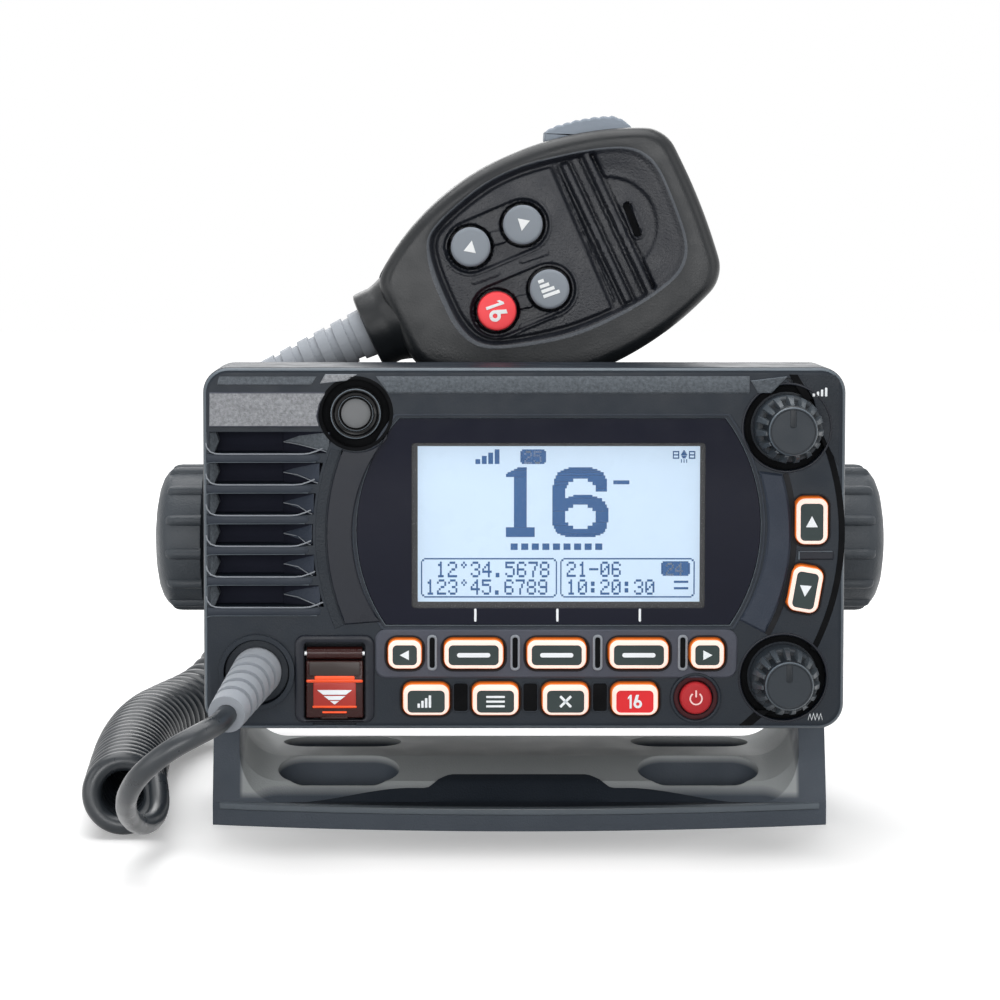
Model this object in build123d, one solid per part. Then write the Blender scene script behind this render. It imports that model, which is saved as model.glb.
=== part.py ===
from build123d import *
import math
import os

# A fixed-mount VHF marine radio in its gimbal bracket, with its fist microphone on a curly cord.
# Millimetres. +X to the right, +Y away from the user, +Z up. The origin is the centre of the
# bracket's mounting face, so Z = 0 is the surface that the bracket is screwed to.

# ---------------------------------------------------------------- shared fits
RUNNING_FIT = 0.05      # radial clearance of a shaft in its hole
SEAT_GAP = 0.1          # gap between stacked parts
SLIP_GAP = 0.3          # gap around keys, covers and other loose fits

# ---------------------------------------------------------------- radio: front bezel
FRONT_Y = -62.0         # Y of the bezel's front face
FACE_WIDTH = 150.0
FACE_HEIGHT = 85.0
FACE_BOTTOM = 31.0      # Z of the bezel's lower edge
FACE_CORNER = 6.0
BEZEL_DEPTH = 24.0
BEZEL_SIDE_WALL = 2.6
FRONT_WALL = 4.0
EDGE_ROUND = 1.6

FACE_MID_Z = FACE_BOTTOM + FACE_HEIGHT / 2
FACE_TOP = FACE_BOTTOM + FACE_HEIGHT

# speaker louvres
LOUVRE_COUNT = 6
LOUVRE_PITCH = 7.2
LOUVRE_HEIGHT = 5.0
LOUVRE_LOW_Z = 62.4     # Z of the middle of the lowest slot
LOUVRE_LEFT_X = -73.4
LOUVRE_DEPTH = 7.0
LOUVRE_BACK = 1.2
BARREL_X = 8.2          # centre of the arc that bounds the louvres
BARREL_Z = 77.0
BARREL_RADIUS = 57.6
SOUND_HOLE = 1.1

# display
LENS_TOP_MARGIN = 11.8
LENS_TOP_Z = FACE_TOP - LENS_TOP_MARGIN
LENS_LOW_Z = 55.5
LENS_TOP = (-29.3, 47.0)
LENS_LOW = (-32.5, 48.2)
LENS_SIDES = (-39.3, 55.4)
LENS_MID_Z = 79.0
LENS_THICK = 2.0
LENS_SUNK = 0.3
WINDOW_X = (-26.3, 42.3)
WINDOW_TOP_MARGIN = 17.7
WINDOW_Z = (59.5, FACE_TOP - WINDOW_TOP_MARGIN)
LCD_THICK = 2.2
BACKLIGHT_MARGIN = 2.7

# right-hand groove and control recesses
GROOVE_X = 14.2
GROOVE_RADIUS = 60.0
GROOVE_WIDTH = 1.4
GROOVE_DEPTH = 1.2
GROOVE_TOP_MARGIN = 2.5
GROOVE_Z = (50.5, FACE_TOP - GROOVE_TOP_MARGIN)

# knobs: centre X, centre Z
VOLUME_TOP_MARGIN = 14.1
VOLUME_AT = (61.2, FACE_TOP - VOLUME_TOP_MARGIN)
SQUELCH_AT = (60.7, 43.2)
KNOB_BASE_RADIUS = 7.8
KNOB_CAP_RADIUS = 5.3
KNOB_HEIGHT = 14.5
KNOB_SKIRT = 5.5
KNOB_FLUTES = 16
KNOB_FLUTE_RADIUS = 0.9
KNOB_RECESS_RADIUS = 10.0
KNOB_RECESS_DEPTH = 2.0
SHAFT_RADIUS = 3.0
SHAFT_IN_KNOB = 9.0
POT_SIDE = 12.0

# front keys: name, centre X, centre Z, width, height, corner radius, lean in degrees
ROW_ONE_Z = 49.0
ROW_TWO_Z = 38.3
KEYS = [
    ("key_left", -27.9, ROW_ONE_Z, 8.0, 7.0, 2.2, 0.0),
    ("key_soft_left", -11.8, ROW_ONE_Z, 14.0, 7.0, 2.2, 0.0),
    ("key_soft_middle", 7.6, ROW_ONE_Z, 14.0, 7.0, 2.2, 0.0),
    ("key_soft_right", 26.8, ROW_ONE_Z, 14.0, 7.0, 2.2, 0.0),
    ("key_right", 42.8, ROW_ONE_Z, 8.0, 7.0, 2.2, 0.0),
    ("key_output_power", -22.9, ROW_TWO_Z, 11.0, 7.5, 2.2, 0.0),
    ("key_menu", -6.7, ROW_TWO_Z, 11.0, 7.5, 2.2, 0.0),
    ("key_clear", 9.7, ROW_TWO_Z, 11.0, 7.5, 2.2, 0.0),
    ("key_calling_channel", 25.9, ROW_TWO_Z, 11.0, 7.5, 2.2, 0.0),
    ("key_up", 67.0, 80.2, 7.6, 11.0, 2.2, 0.0),
    ("key_down", 65.6, 64.2, 7.4, 10.8, 2.2, -10.0),
]
POWER_KEY_AT = (40.2, 38.5)
POWER_KEY_RADIUS = 3.75
KEY_PROUD = 1.6
KEY_TRAVEL = 0.8
KEY_FLANGE = 0.7
KEY_FLANGE_THICK = 1.0
KEY_ROUND = 0.5
MEMBRANE_THICK = 1.2
MEMBRANE_X = (-33.5, 48.5)
MEMBRANE_MARGIN = 5.0
SIDE_MEMBRANE_X = (61.0, 71.0)
SIDE_MEMBRANE_Z = (57.5, 87.0)
DOME_RADIUS = 2.4

# distress key and its flip cover
DISTRESS_X = (-51.4, -37.3)
DISTRESS_Z = (33.4, 51.3)
DISTRESS_POCKET = 5.5
DISTRESS_FLOOR = 1.5
DISTRESS_FRAME = 2.4
COVER_PIN_Z = 48.9
COVER_PIN_DEPTH = 1.0
COVER_PIN_RADIUS = 0.8
COVER_KNUCKLE = 1.6
COVER_THICK = 1.5
COVER_LIP = 1.4
BUTTON_Z = (35.2, 45.0)
BUTTON_FRONT = 2.4
BUTTON_THICK = 1.7
BUTTON_TRAVEL = 1.2
BUTTON_STEM = 1.8
SWITCH_SIDE = 6.0

# status lamp
LAMP_TOP_MARGIN = 10.8
LAMP_AT = (-39.3, FACE_TOP - LAMP_TOP_MARGIN)
LAMP_RECESS_RADIUS = 8.1
LAMP_RING_RADIUS = 6.0
LAMP_LENS_RADIUS = 3.25
LAMP_RECESS_DEPTH = 2.0

# cord gland on the face
GLAND_AT = (-62.6, 44.5)
GLAND_RADIUS = 7.4
GLAND_RIM = 1.2
GLAND_RIM_PROUD = 1.0
GLAND_RECESS_DEPTH = 2.6
GLAND_FLANGE = 2.0
GLAND_THREAD_RADIUS = 4.6
GLAND_THREAD_LENGTH = 6.0
BOOT_TIP = (-67.6, -90.0, 39.3)   # end of the gland's boot
BOOT_BASE_RADIUS = 5.8
BOOT_TIP_RADIUS = 4.3
BOOT_GROOVE_COUNT = 5
BOOT_GROOVE_DEPTH = 0.7

# ---------------------------------------------------------------- radio: boards and inner parts
BOARD_DEPTH = 9.0       # depth of the front board's front side behind the face
BOARD_THICK = 1.6
BOARD_X = (-34.0, 70.5)
BOARD_TAB_X = -56.0
BOARD_TAB_Z = 57.0
BOARD_INSET = 1.0
POST_RADIUS = 2.0
POST_SCREW_RADIUS = 0.9
POST_TOP_MARGIN = 7.5
POST_TOP_Z = FACE_TOP - POST_TOP_MARGIN
POSTS = [(-31.6, POST_TOP_Z), (49.0, POST_TOP_Z), (55.3, 56.0), (-31.8, 57.4)]
SPEAKER_AT = (-54.6, 79.0)
SPEAKER_RADIUS = 16.5
SPEAKER_RIM = 3.0
SPEAKER_DEPTH = 11.0
SPEAKER_MAGNET = 9.0

# ---------------------------------------------------------------- radio: rear chassis
GASKET_THICK = 1.0
FLANGE_THICK = 3.0
FLANGE_INSET = 3.0
CASE_HALF_WIDTH = 60.0
CASE_LOW_MARGIN = 8.0
CASE_BOTTOM = FACE_BOTTOM + CASE_LOW_MARGIN
CASE_TOP_MARGIN = 8.3
CASE_TOP = FACE_TOP - CASE_TOP_MARGIN
CASE_REAR = 126.0       # depth of the rear wall's outside
CASE_WALL = 3.0
CASE_CORNER = 10.0
FIN_COUNT = 9
FIN_PITCH = 7.0
FIN_THICK = 2.2
FIN_LENGTH = 8.0
FIN_MARGIN = 6.0
SOCKET_AT = (45.0, 84.0)
SOCKET_RADIUS = 7.9
SOCKET_LENGTH = 13.0
SOCKET_FLANGE = 25.0
SOCKET_FLANGE_THICK = 2.0
SOCKET_CONTACT = 2.0
SOCKET_DIELECTRIC = 5.6
INLETS = [(-45.0, 84.0, 7.0), (-45.0, 58.0, 5.5)]
INLET_LENGTH = 9.0
MAIN_BOARD_Z = 58.0
MAIN_BOARD_DEPTH = (34.0, 112.0)
MAIN_BOARD_HALF = 55.0
SHIELD_X = (-40.0, 14.0)
SHIELD_DEPTH = (44.0, 98.0)
SHIELD_HEIGHT = 14.0
AMPLIFIER_X = (18.0, 50.0)
AMPLIFIER_HEIGHT = 9.0
AMPLIFIER_THICK = 18.0
CHASSIS_SCREW_X = 66.0
CHASSIS_SCREW_MARGIN = 7.0
CHASSIS_SCREWS = [
    (side * CHASSIS_SCREW_X, height)
    for height in (FACE_BOTTOM + CHASSIS_SCREW_MARGIN, FACE_TOP - CHASSIS_SCREW_MARGIN)
    for side in (-1, 1)
]
CHASSIS_SCREW_RADIUS = 1.5
CHASSIS_SCREW_HEAD = 2.8
CHASSIS_SCREW_LENGTH = 12.0

# ---------------------------------------------------------------- gimbal
GIMBAL_DEPTH = 48.0     # depth of the tilt axis behind the face
GIMBAL_Z = 71.0
ARM_OUTER = 76.25
ARM_THICK = 6.5
ARM_EYE = 14.0
SCREW_RADIUS = 3.0
WASHER_THICK = 1.5
WASHER_RADIUS = 11.0
BOSS_RADIUS = 12.0
INSERT_RADIUS = 4.6
INSERT_LENGTH = 8.0
BOSS_ROOT = 2.0         # how far the boss runs on behind its insert
KNOB_OUTER_FACE = 90.5
KNOB_RADIUS = 18.4
KNOB_RIBS = 12
KNOB_RIB_DEPTH = 1.3
KNOB_RIB_GAP = 0.36     # share of each pitch that is valley
KNOB_DOME = 3.0

BASE_FRONT = 40.0       # depth of the bracket's front edge at its ends
BASE_BOW = 8.0
BASE_REAR = 92.0
BASE_LIP = 5.5
RISER_DEPTH = 45.0      # depth and height at the top of the steep step behind the lip
RISER_TOP = 10.0
BASE_PLATEAU = 14.0
PLATEAU_DEPTH = 58.0    # depth at which the plateau begins
CREST_DEPTH = 86.5      # depth at which it ends
REAR_TOP = 11.0         # height of the base at its rear edge
FOOT_DEPTH = 46.0       # depth of an arm's front edge where it leaves the foot
BASE_CORNER = 5.0
INNER_FILLET = 10.0
POCKET_LENGTH = 30.5
POCKET_WIDTH = 14.0
POCKET_X = 45.25
POCKET_DEPTHS = (51.0, 77.5)
POCKET_FLOOR = 4.5
SLOT_LENGTH = 18.0
SLOT_WIDTH = 5.2

# ---------------------------------------------------------------- fist microphone
MIC_X = 6.5
MIC_DEPTH = 50.0
MIC_OVER_CASE = 34.9    # height of the microphone's middle over the case that it stands on
MIC_Z = CASE_TOP + MIC_OVER_CASE
MIC_LEAN = 24.7         # degrees, right end up
MIC_FRONT = 12.0        # local distance of the front face from the parting plane
MIC_BACK = 14.0
MIC_WALL = 2.4
MIC_EDGE = 3.2
MIC_CORNER = 5.0
MIC_CENTRE_V = -3.0
MIC_POINTS = [          # ends and middles of the arcs around the palm shape
    (-41.5, 10.5), (-24.0, 20.9),
    (0.0, 25.4), (17.6, 23.4),
    (35.2, 17.2), (38.4, 13.6),
    (39.3, 9.0), (39.3, -5.0),
    (38.0, -18.5), (36.2, -23.3),
    (32.0, -26.4), (16.0, -31.0),
    (0.0, -32.2), (-24.0, -25.6),
    (-41.5, -11.5),
]
MIC_PANEL_INSET = 7.0
MIC_PANEL_SUNK = 1.0
MIC_KEY_RADIUS = 4.85
MIC_KEY_PROUD = 1.4
MIC_KEY_TRAVEL = 0.8
MIC_KEYS = [
    ("mic_key_down", -16.6, 8.7),
    ("mic_key_up", -2.7, 8.3),
    ("mic_key_calling_channel", -17.3, -8.3),
    ("mic_key_output_power", -3.3, -8.8),
]
MIC_BOARD_FRONT = 3.6   # local distance of the board's front side
MIC_RIBS = (13.6, 19.4)
MIC_RIB_HALF_LENGTH = 19.0
MIC_RIB_WIDTH = 2.0
MIC_GROOVE_WIDTH = 2.0
MIC_RIB_MID_V = -1.4
MIC_SLOT_AT = (22.3, -2.2)
MIC_SLOT_LENGTH = 8.4
MIC_SLOT_WIDTH = 1.6
CAPSULE_RADIUS = 4.8
CAPSULE_THICK = 4.6
PTT_U = (11.0, 32.4)
PTT_INNER_V = 15.5
PTT_CREST = ((20.2, 26.2), (28.6, 23.6))   # where the bar's outer edge bends
PTT_END_V = (26.4, 20.0)                   # outer edge at the bar's two ends
SWITCH_ROOM = (28.0, 22.0)                 # cut-out of the board round the talk switch
SWITCH_SHIFT = (12.0, 8.0)                 # its centre from the bar's inner corner
PTT_HALF = 5.5
PTT_TRAVEL = 2.0
COLLAR_END_U = -48.4
COLLAR_RADIUS = 9.6
MIC_BOOT_START_RADIUS = 6.2
MIC_BOOT_TIP_RADIUS = 4.4
MIC_BOOT_LENGTH = 28.5
MIC_BOOT_ROOT = 6.0          # stretch of the boot inside the collar
STUD_AT = (4.0, 0.0)
STUD_RADIUS = 8.0
STUD_NECK = 4.0
STUD_LENGTH = 7.0
STUD_HEAD_THICK = 2.5
MIC_SCREWS = [(-32.0, 10.0), (-31.0, -12.0), (30.0, 8.0), (27.0, -20.0)]
MIC_SCREW_RADIUS = 1.3

# ---------------------------------------------------------------- curly cord
CORD_DIAMETER = 4.8
COIL_DIAMETER = 20.4
COIL_START = (-96.5, -42.0, 11.0)
TAIL_RADIO_ROUTE = [
    BOOT_TIP,
    (-68.5, -95.2, 38.3),
    (-72.6, -101.0, 37.0),
    (-79.5, -103.2, 33.6),
    (-86.2, -100.8, 27.8),
    (-89.9, -93.6, 21.6),
    (-91.2, -82.0, 15.4),
    (-90.5, -70.0, 10.4),
    (-88.6, -59.4, 7.8),
    (-87.0, -51.0, 8.6),
    (-87.0, -44.6, 11.4),
    (-88.2, -39.4, 14.6),
]
COIL_ROUTE = [
    COIL_START,
    (-96.8, -12.0, 10.8),
    (-95.0, 22.0, 10.6),
    (-91.0, 51.0, 10.8),
    (-86.5, 74.0, 11.0),
    (-81.5, 89.0, 17.2),
    (-77.5, 98.0, 30.2),
    (-75.2, 99.5, 46.0),
    (-74.3, 94.0, 61.0),
]
TAIL_MIC_ROUTE = [
    (-74.45, 95.0, 58.2),
    (-73.9, 91.4, 68.0),
    (-73.8, 84.0, 76.5),
    (-74.2, 72.0, 82.5),
    (-74.7, 57.0, 86.2),
    (-75.3, 40.0, 88.9),
    (-75.9, 23.0, 92.2),
    (-76.2, 8.5, 96.6),
    (-75.9, -1.4, 100.6),
    (-74.1, -7.2, 103.6),
    (-71.2, -10.4, 106.3),
    (-67.36, -12.0, 108.63),
    (-63.45, -12.0, 110.43),
]


# ---------------------------------------------------------------- helpers
def at_depth(depth):
    """Y of a point that lies this far behind the bezel's front face."""
    return FRONT_Y + depth


def slab(profile, near, far):
    """A front-view profile made solid between two depths behind the face."""
    return extrude(Plane.XZ.offset(-at_depth(far)) * profile, far - near)


def front_box(x_range, z_range, near, far):
    """A block between two depths, given by its X and Z ranges."""
    size = Rectangle(x_range[1] - x_range[0], z_range[1] - z_range[0])
    centre = ((x_range[0] + x_range[1]) / 2, (z_range[0] + z_range[1]) / 2)
    return slab(Pos(*centre) * size, near, far)


def front_rod(at, radius, near, far):
    """A round rod square to the face, between two depths."""
    return slab(Pos(*at) * Circle(radius), near, far)


def cross_rod(radius, x_low, x_high, depth, height):
    """A round rod along X."""
    return Pos((x_low + x_high) / 2, at_depth(depth), height) * Rot(0, 90, 0) * Cylinder(
        radius, x_high - x_low
    )


def face_outline(inset=0.0):
    """The bezel's rounded outline, moved inwards by a wall."""
    radius = max(FACE_CORNER - inset, 1.0)
    return Pos(0, FACE_MID_Z) * RectangleRounded(FACE_WIDTH - 2 * inset, FACE_HEIGHT - 2 * inset, radius)


def lens_outline(inset=0.0):
    """The barrel shape of the display lens."""
    top_left = (LENS_TOP[0] + inset, LENS_TOP_Z - inset)
    top_right = (LENS_TOP[1] - inset, LENS_TOP_Z - inset)
    low_right = (LENS_LOW[1] - inset, LENS_LOW_Z + inset)
    low_left = (LENS_LOW[0] + inset, LENS_LOW_Z + inset)
    edges = [
        Line(top_left, top_right),
        ThreePointArc(top_right, (LENS_SIDES[1] - inset, LENS_MID_Z), low_right),
        Line(low_right, low_left),
        ThreePointArc(low_left, (LENS_SIDES[0] + inset, LENS_MID_Z), top_left),
    ]
    return make_face(Wire(edges))


def key_outline(key, grow=0.0):
    """A key's rounded rectangle in the front view, grown on every side."""
    _, x, z, width, height, radius, lean = key
    shape = RectangleRounded(width + 2 * grow, height + 2 * grow, radius + grow)
    return Pos(x, z) * Rot(0, 0, lean) * shape


def power_outline(grow=0.0):
    """The round power key's outline."""
    return Pos(*POWER_KEY_AT) * Circle(POWER_KEY_RADIUS + grow)


def tube_radii(points):
    """The largest arc that each corner of a route can take."""
    radii = []
    for before, here, after in zip(points, points[1:], points[2:]):
        arriving = Vector(*here) - Vector(*before)
        leaving = Vector(*after) - Vector(*here)
        turn = math.radians(arriving.get_angle(leaving))
        radii.append(0.45 * min(arriving.length, leaving.length) / math.tan(turn / 2))
    return radii


def route_tube(name, points, diameter):
    """A round tube along straight runs joined by tangent arcs."""
    radii = tube_radii(points)
    path = FilletPolyline(*points, radius=radii)
    start = Plane(path @ 0, z_dir=path % 0)
    tube = sweep(start * Circle(diameter / 2), path=path)
    ideal = math.pi * diameter ** 2 / 4 * path.length
    tightest = min(radii) / diameter
    print(name, "length", round(path.length, 1), "tightest radius / diameter", round(tightest, 2),
          "radii", [round(radius, 1) for radius in radii], "volume ratio", round(tube.volume / ideal, 4))
    return tube


# ---------------------------------------------------------------- bracket
def gimbal_bracket():
    """U-shaped bracket: screw-down base with slotted holes and two arms with gimbal eyes."""
    front_left = (-ARM_OUTER, at_depth(BASE_FRONT))
    front_right = (ARM_OUTER, at_depth(BASE_FRONT))
    rear_right = (ARM_OUTER, at_depth(BASE_REAR))
    rear_left = (-ARM_OUTER, at_depth(BASE_REAR))
    plan = make_face(Wire([
        ThreePointArc(front_left, (0, at_depth(BASE_FRONT - BASE_BOW)), front_right),
        Line(front_right, rear_right),
        Line(rear_right, rear_left),
        Line(rear_left, front_left),
    ]))
    body = extrude(plan, GIMBAL_Z + ARM_EYE)
    body = fillet(body.edges().filter_by(Axis.Z).group_by(Axis.Y)[-1], BASE_CORNER)

    side = [
        (BASE_FRONT - BASE_BOW, 0.0),
        (BASE_FRONT - BASE_BOW, BASE_LIP),
        (BASE_FRONT, BASE_LIP),
        (FOOT_DEPTH, FACE_BOTTOM - 2.0),
        (GIMBAL_DEPTH - 9.5, FACE_BOTTOM + 12.0),
        (GIMBAL_DEPTH - ARM_EYE, GIMBAL_Z - 12.0),
        (GIMBAL_DEPTH - ARM_EYE, GIMBAL_Z),
        (GIMBAL_DEPTH + ARM_EYE, GIMBAL_Z),
        (BASE_REAR - 8.0, BASE_PLATEAU + 4.0),
        (BASE_REAR, REAR_TOP),
        (BASE_REAR, 0.0),
    ]
    silhouette = make_face(Polyline(*[(at_depth(depth), height) for depth, height in side], close=True))
    silhouette += Pos(at_depth(GIMBAL_DEPTH), GIMBAL_Z) * Circle(ARM_EYE)
    body &= extrude(Plane.YZ * silhouette, ARM_OUTER, both=True)

    arm_inner = ARM_OUTER - ARM_THICK
    room = GIMBAL_Z + 2 * ARM_EYE
    channel = Pos(0, room / 2) * Rectangle(2 * arm_inner, room)
    channel = fillet(channel.vertices().group_by(Axis.Y)[0], INNER_FILLET)
    beyond = (REAR_TOP - BASE_PLATEAU) / (BASE_REAR - CREST_DEPTH) * EDGE_ROUND
    top = [
        (BASE_FRONT - BASE_BOW - EDGE_ROUND, BASE_LIP),
        (BASE_FRONT, BASE_LIP),
        (RISER_DEPTH, RISER_TOP),
        (PLATEAU_DEPTH, BASE_PLATEAU),
        (CREST_DEPTH, BASE_PLATEAU),
        (BASE_REAR + EDGE_ROUND, REAR_TOP + beyond),
    ]
    for (near, low), (far, high) in zip(top, top[1:]):
        run = far - near
        rise = high - low
        section = Plane.XZ.offset(-at_depth(near)) * Pos(0, low) * channel
        body -= extrude(section, math.hypot(run, rise), dir=(0, run, rise))

    for x in (-POCKET_X, POCKET_X):
        for depth in POCKET_DEPTHS:
            place = Pos(x, at_depth(depth), POCKET_FLOOR)
            body -= place * extrude(SlotOverall(POCKET_LENGTH, POCKET_WIDTH), BASE_PLATEAU)
            body -= place * extrude(SlotOverall(SLOT_LENGTH, SLOT_WIDTH), -2 * POCKET_FLOOR)

    eye = cross_rod(SCREW_RADIUS + RUNNING_FIT, -ARM_OUTER - 1, ARM_OUTER + 1, GIMBAL_DEPTH, GIMBAL_Z)
    return body - eye


# ---------------------------------------------------------------- gimbal hardware
def gimbal_side(side):
    """X positions along one end of the tilt axis, from the inside outwards."""
    arm_inner = ARM_OUTER - ARM_THICK
    return {
        "boss": side * (arm_inner - SEAT_GAP - WASHER_THICK),
        "inner_washer": side * (arm_inner - SEAT_GAP),
        "outer_washer": side * (ARM_OUTER + SEAT_GAP),
        "knob": side * (ARM_OUTER + SEAT_GAP + WASHER_THICK + SEAT_GAP),
        "knob_face": side * KNOB_OUTER_FACE,
    }


def ordered(first, second):
    """Two X values as low and high."""
    return min(first, second), max(first, second)


def axis_rod(radius, first, second):
    """A round rod on the tilt axis between two X values."""
    low, high = ordered(first, second)
    return cross_rod(radius, low, high, GIMBAL_DEPTH, GIMBAL_Z)


def gimbal_washers():
    """Friction washers on both sides of each bracket arm."""
    rings = []
    for side in (-1, 1):
        place = gimbal_side(side)
        inner = axis_rod(WASHER_RADIUS, place["boss"], place["inner_washer"])
        outer_end = place["outer_washer"] + side * WASHER_THICK
        outer = axis_rod(WASHER_RADIUS, place["outer_washer"], outer_end)
        bore = axis_rod(SCREW_RADIUS + RUNNING_FIT, place["boss"] - side, outer_end + side)
        rings += [inner - bore, outer - bore]
    return Compound(rings)


def gimbal_knob(side):
    """Ribbed clamping knob with a domed outer edge and a blind bore for its screw."""
    place = gimbal_side(side)
    length = abs(place["knob_face"] - place["knob"])
    wheel = Circle(KNOB_RADIUS - KNOB_RIB_DEPTH)
    pitch = 360.0 / KNOB_RIBS
    for index in range(KNOB_RIBS):
        rib = make_face(Wire([
            Line((0, 0), (KNOB_RADIUS, 0)),
            CenterArc((0, 0), KNOB_RADIUS, 0, pitch * (1 - KNOB_RIB_GAP)),
            Line(
                (KNOB_RADIUS * math.cos(math.radians(pitch * (1 - KNOB_RIB_GAP))),
                 KNOB_RADIUS * math.sin(math.radians(pitch * (1 - KNOB_RIB_GAP)))),
                (0, 0),
            ),
        ]))
        wheel += Rot(0, 0, index * pitch) * rib
    knob = extrude(wheel, length)
    dome = Cylinder(KNOB_RADIUS, length, align=(Align.CENTER, Align.CENTER, Align.MIN))
    dome = fillet(dome.edges().group_by(Axis.Z)[-1], KNOB_DOME)
    knob &= dome
    knob -= Cylinder(SCREW_RADIUS + RUNNING_FIT / 2, 0.7 * length, align=(Align.CENTER, Align.CENTER, Align.MIN))
    return Pos(place["knob"], at_depth(GIMBAL_DEPTH), GIMBAL_Z) * Rot(0, 90 * side, 0) * knob


def gimbal_screw(side):
    """Screw that is moulded into the knob and threads into the chassis insert."""
    place = gimbal_side(side)
    head = place["knob"] + side * 0.65 * (KNOB_OUTER_FACE - abs(place["knob"]))
    tip = place["boss"] - side * (INSERT_LENGTH + BOSS_ROOT / 2)
    return axis_rod(SCREW_RADIUS, tip, head)


def gimbal_inserts():
    """Brass inserts in the chassis bosses."""
    inserts = []
    for side in (-1, 1):
        outer = gimbal_side(side)["boss"] - side * SEAT_GAP
        inner = outer - side * INSERT_LENGTH
        sleeve = axis_rod(INSERT_RADIUS, inner, outer)
        inserts.append(sleeve - axis_rod(SCREW_RADIUS + RUNNING_FIT, inner - side, outer + side))
    return Compound(inserts)


# ---------------------------------------------------------------- bezel and what it carries
def louvre_slots():
    """Horizontal speaker slots that end on the barrel arc."""
    slots = []
    arc = Pos(BARREL_X, BARREL_Z) * Circle(BARREL_RADIUS)
    for index in range(LOUVRE_COUNT):
        middle = LOUVRE_LOW_Z + index * LOUVRE_PITCH
        width = BARREL_X - LOUVRE_LEFT_X
        strip = Pos(LOUVRE_LEFT_X + width / 2, middle) * Rectangle(width, LOUVRE_HEIGHT)
        slots.append(slab(strip - arc, -1.0, LOUVRE_DEPTH))
    return slots


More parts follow.
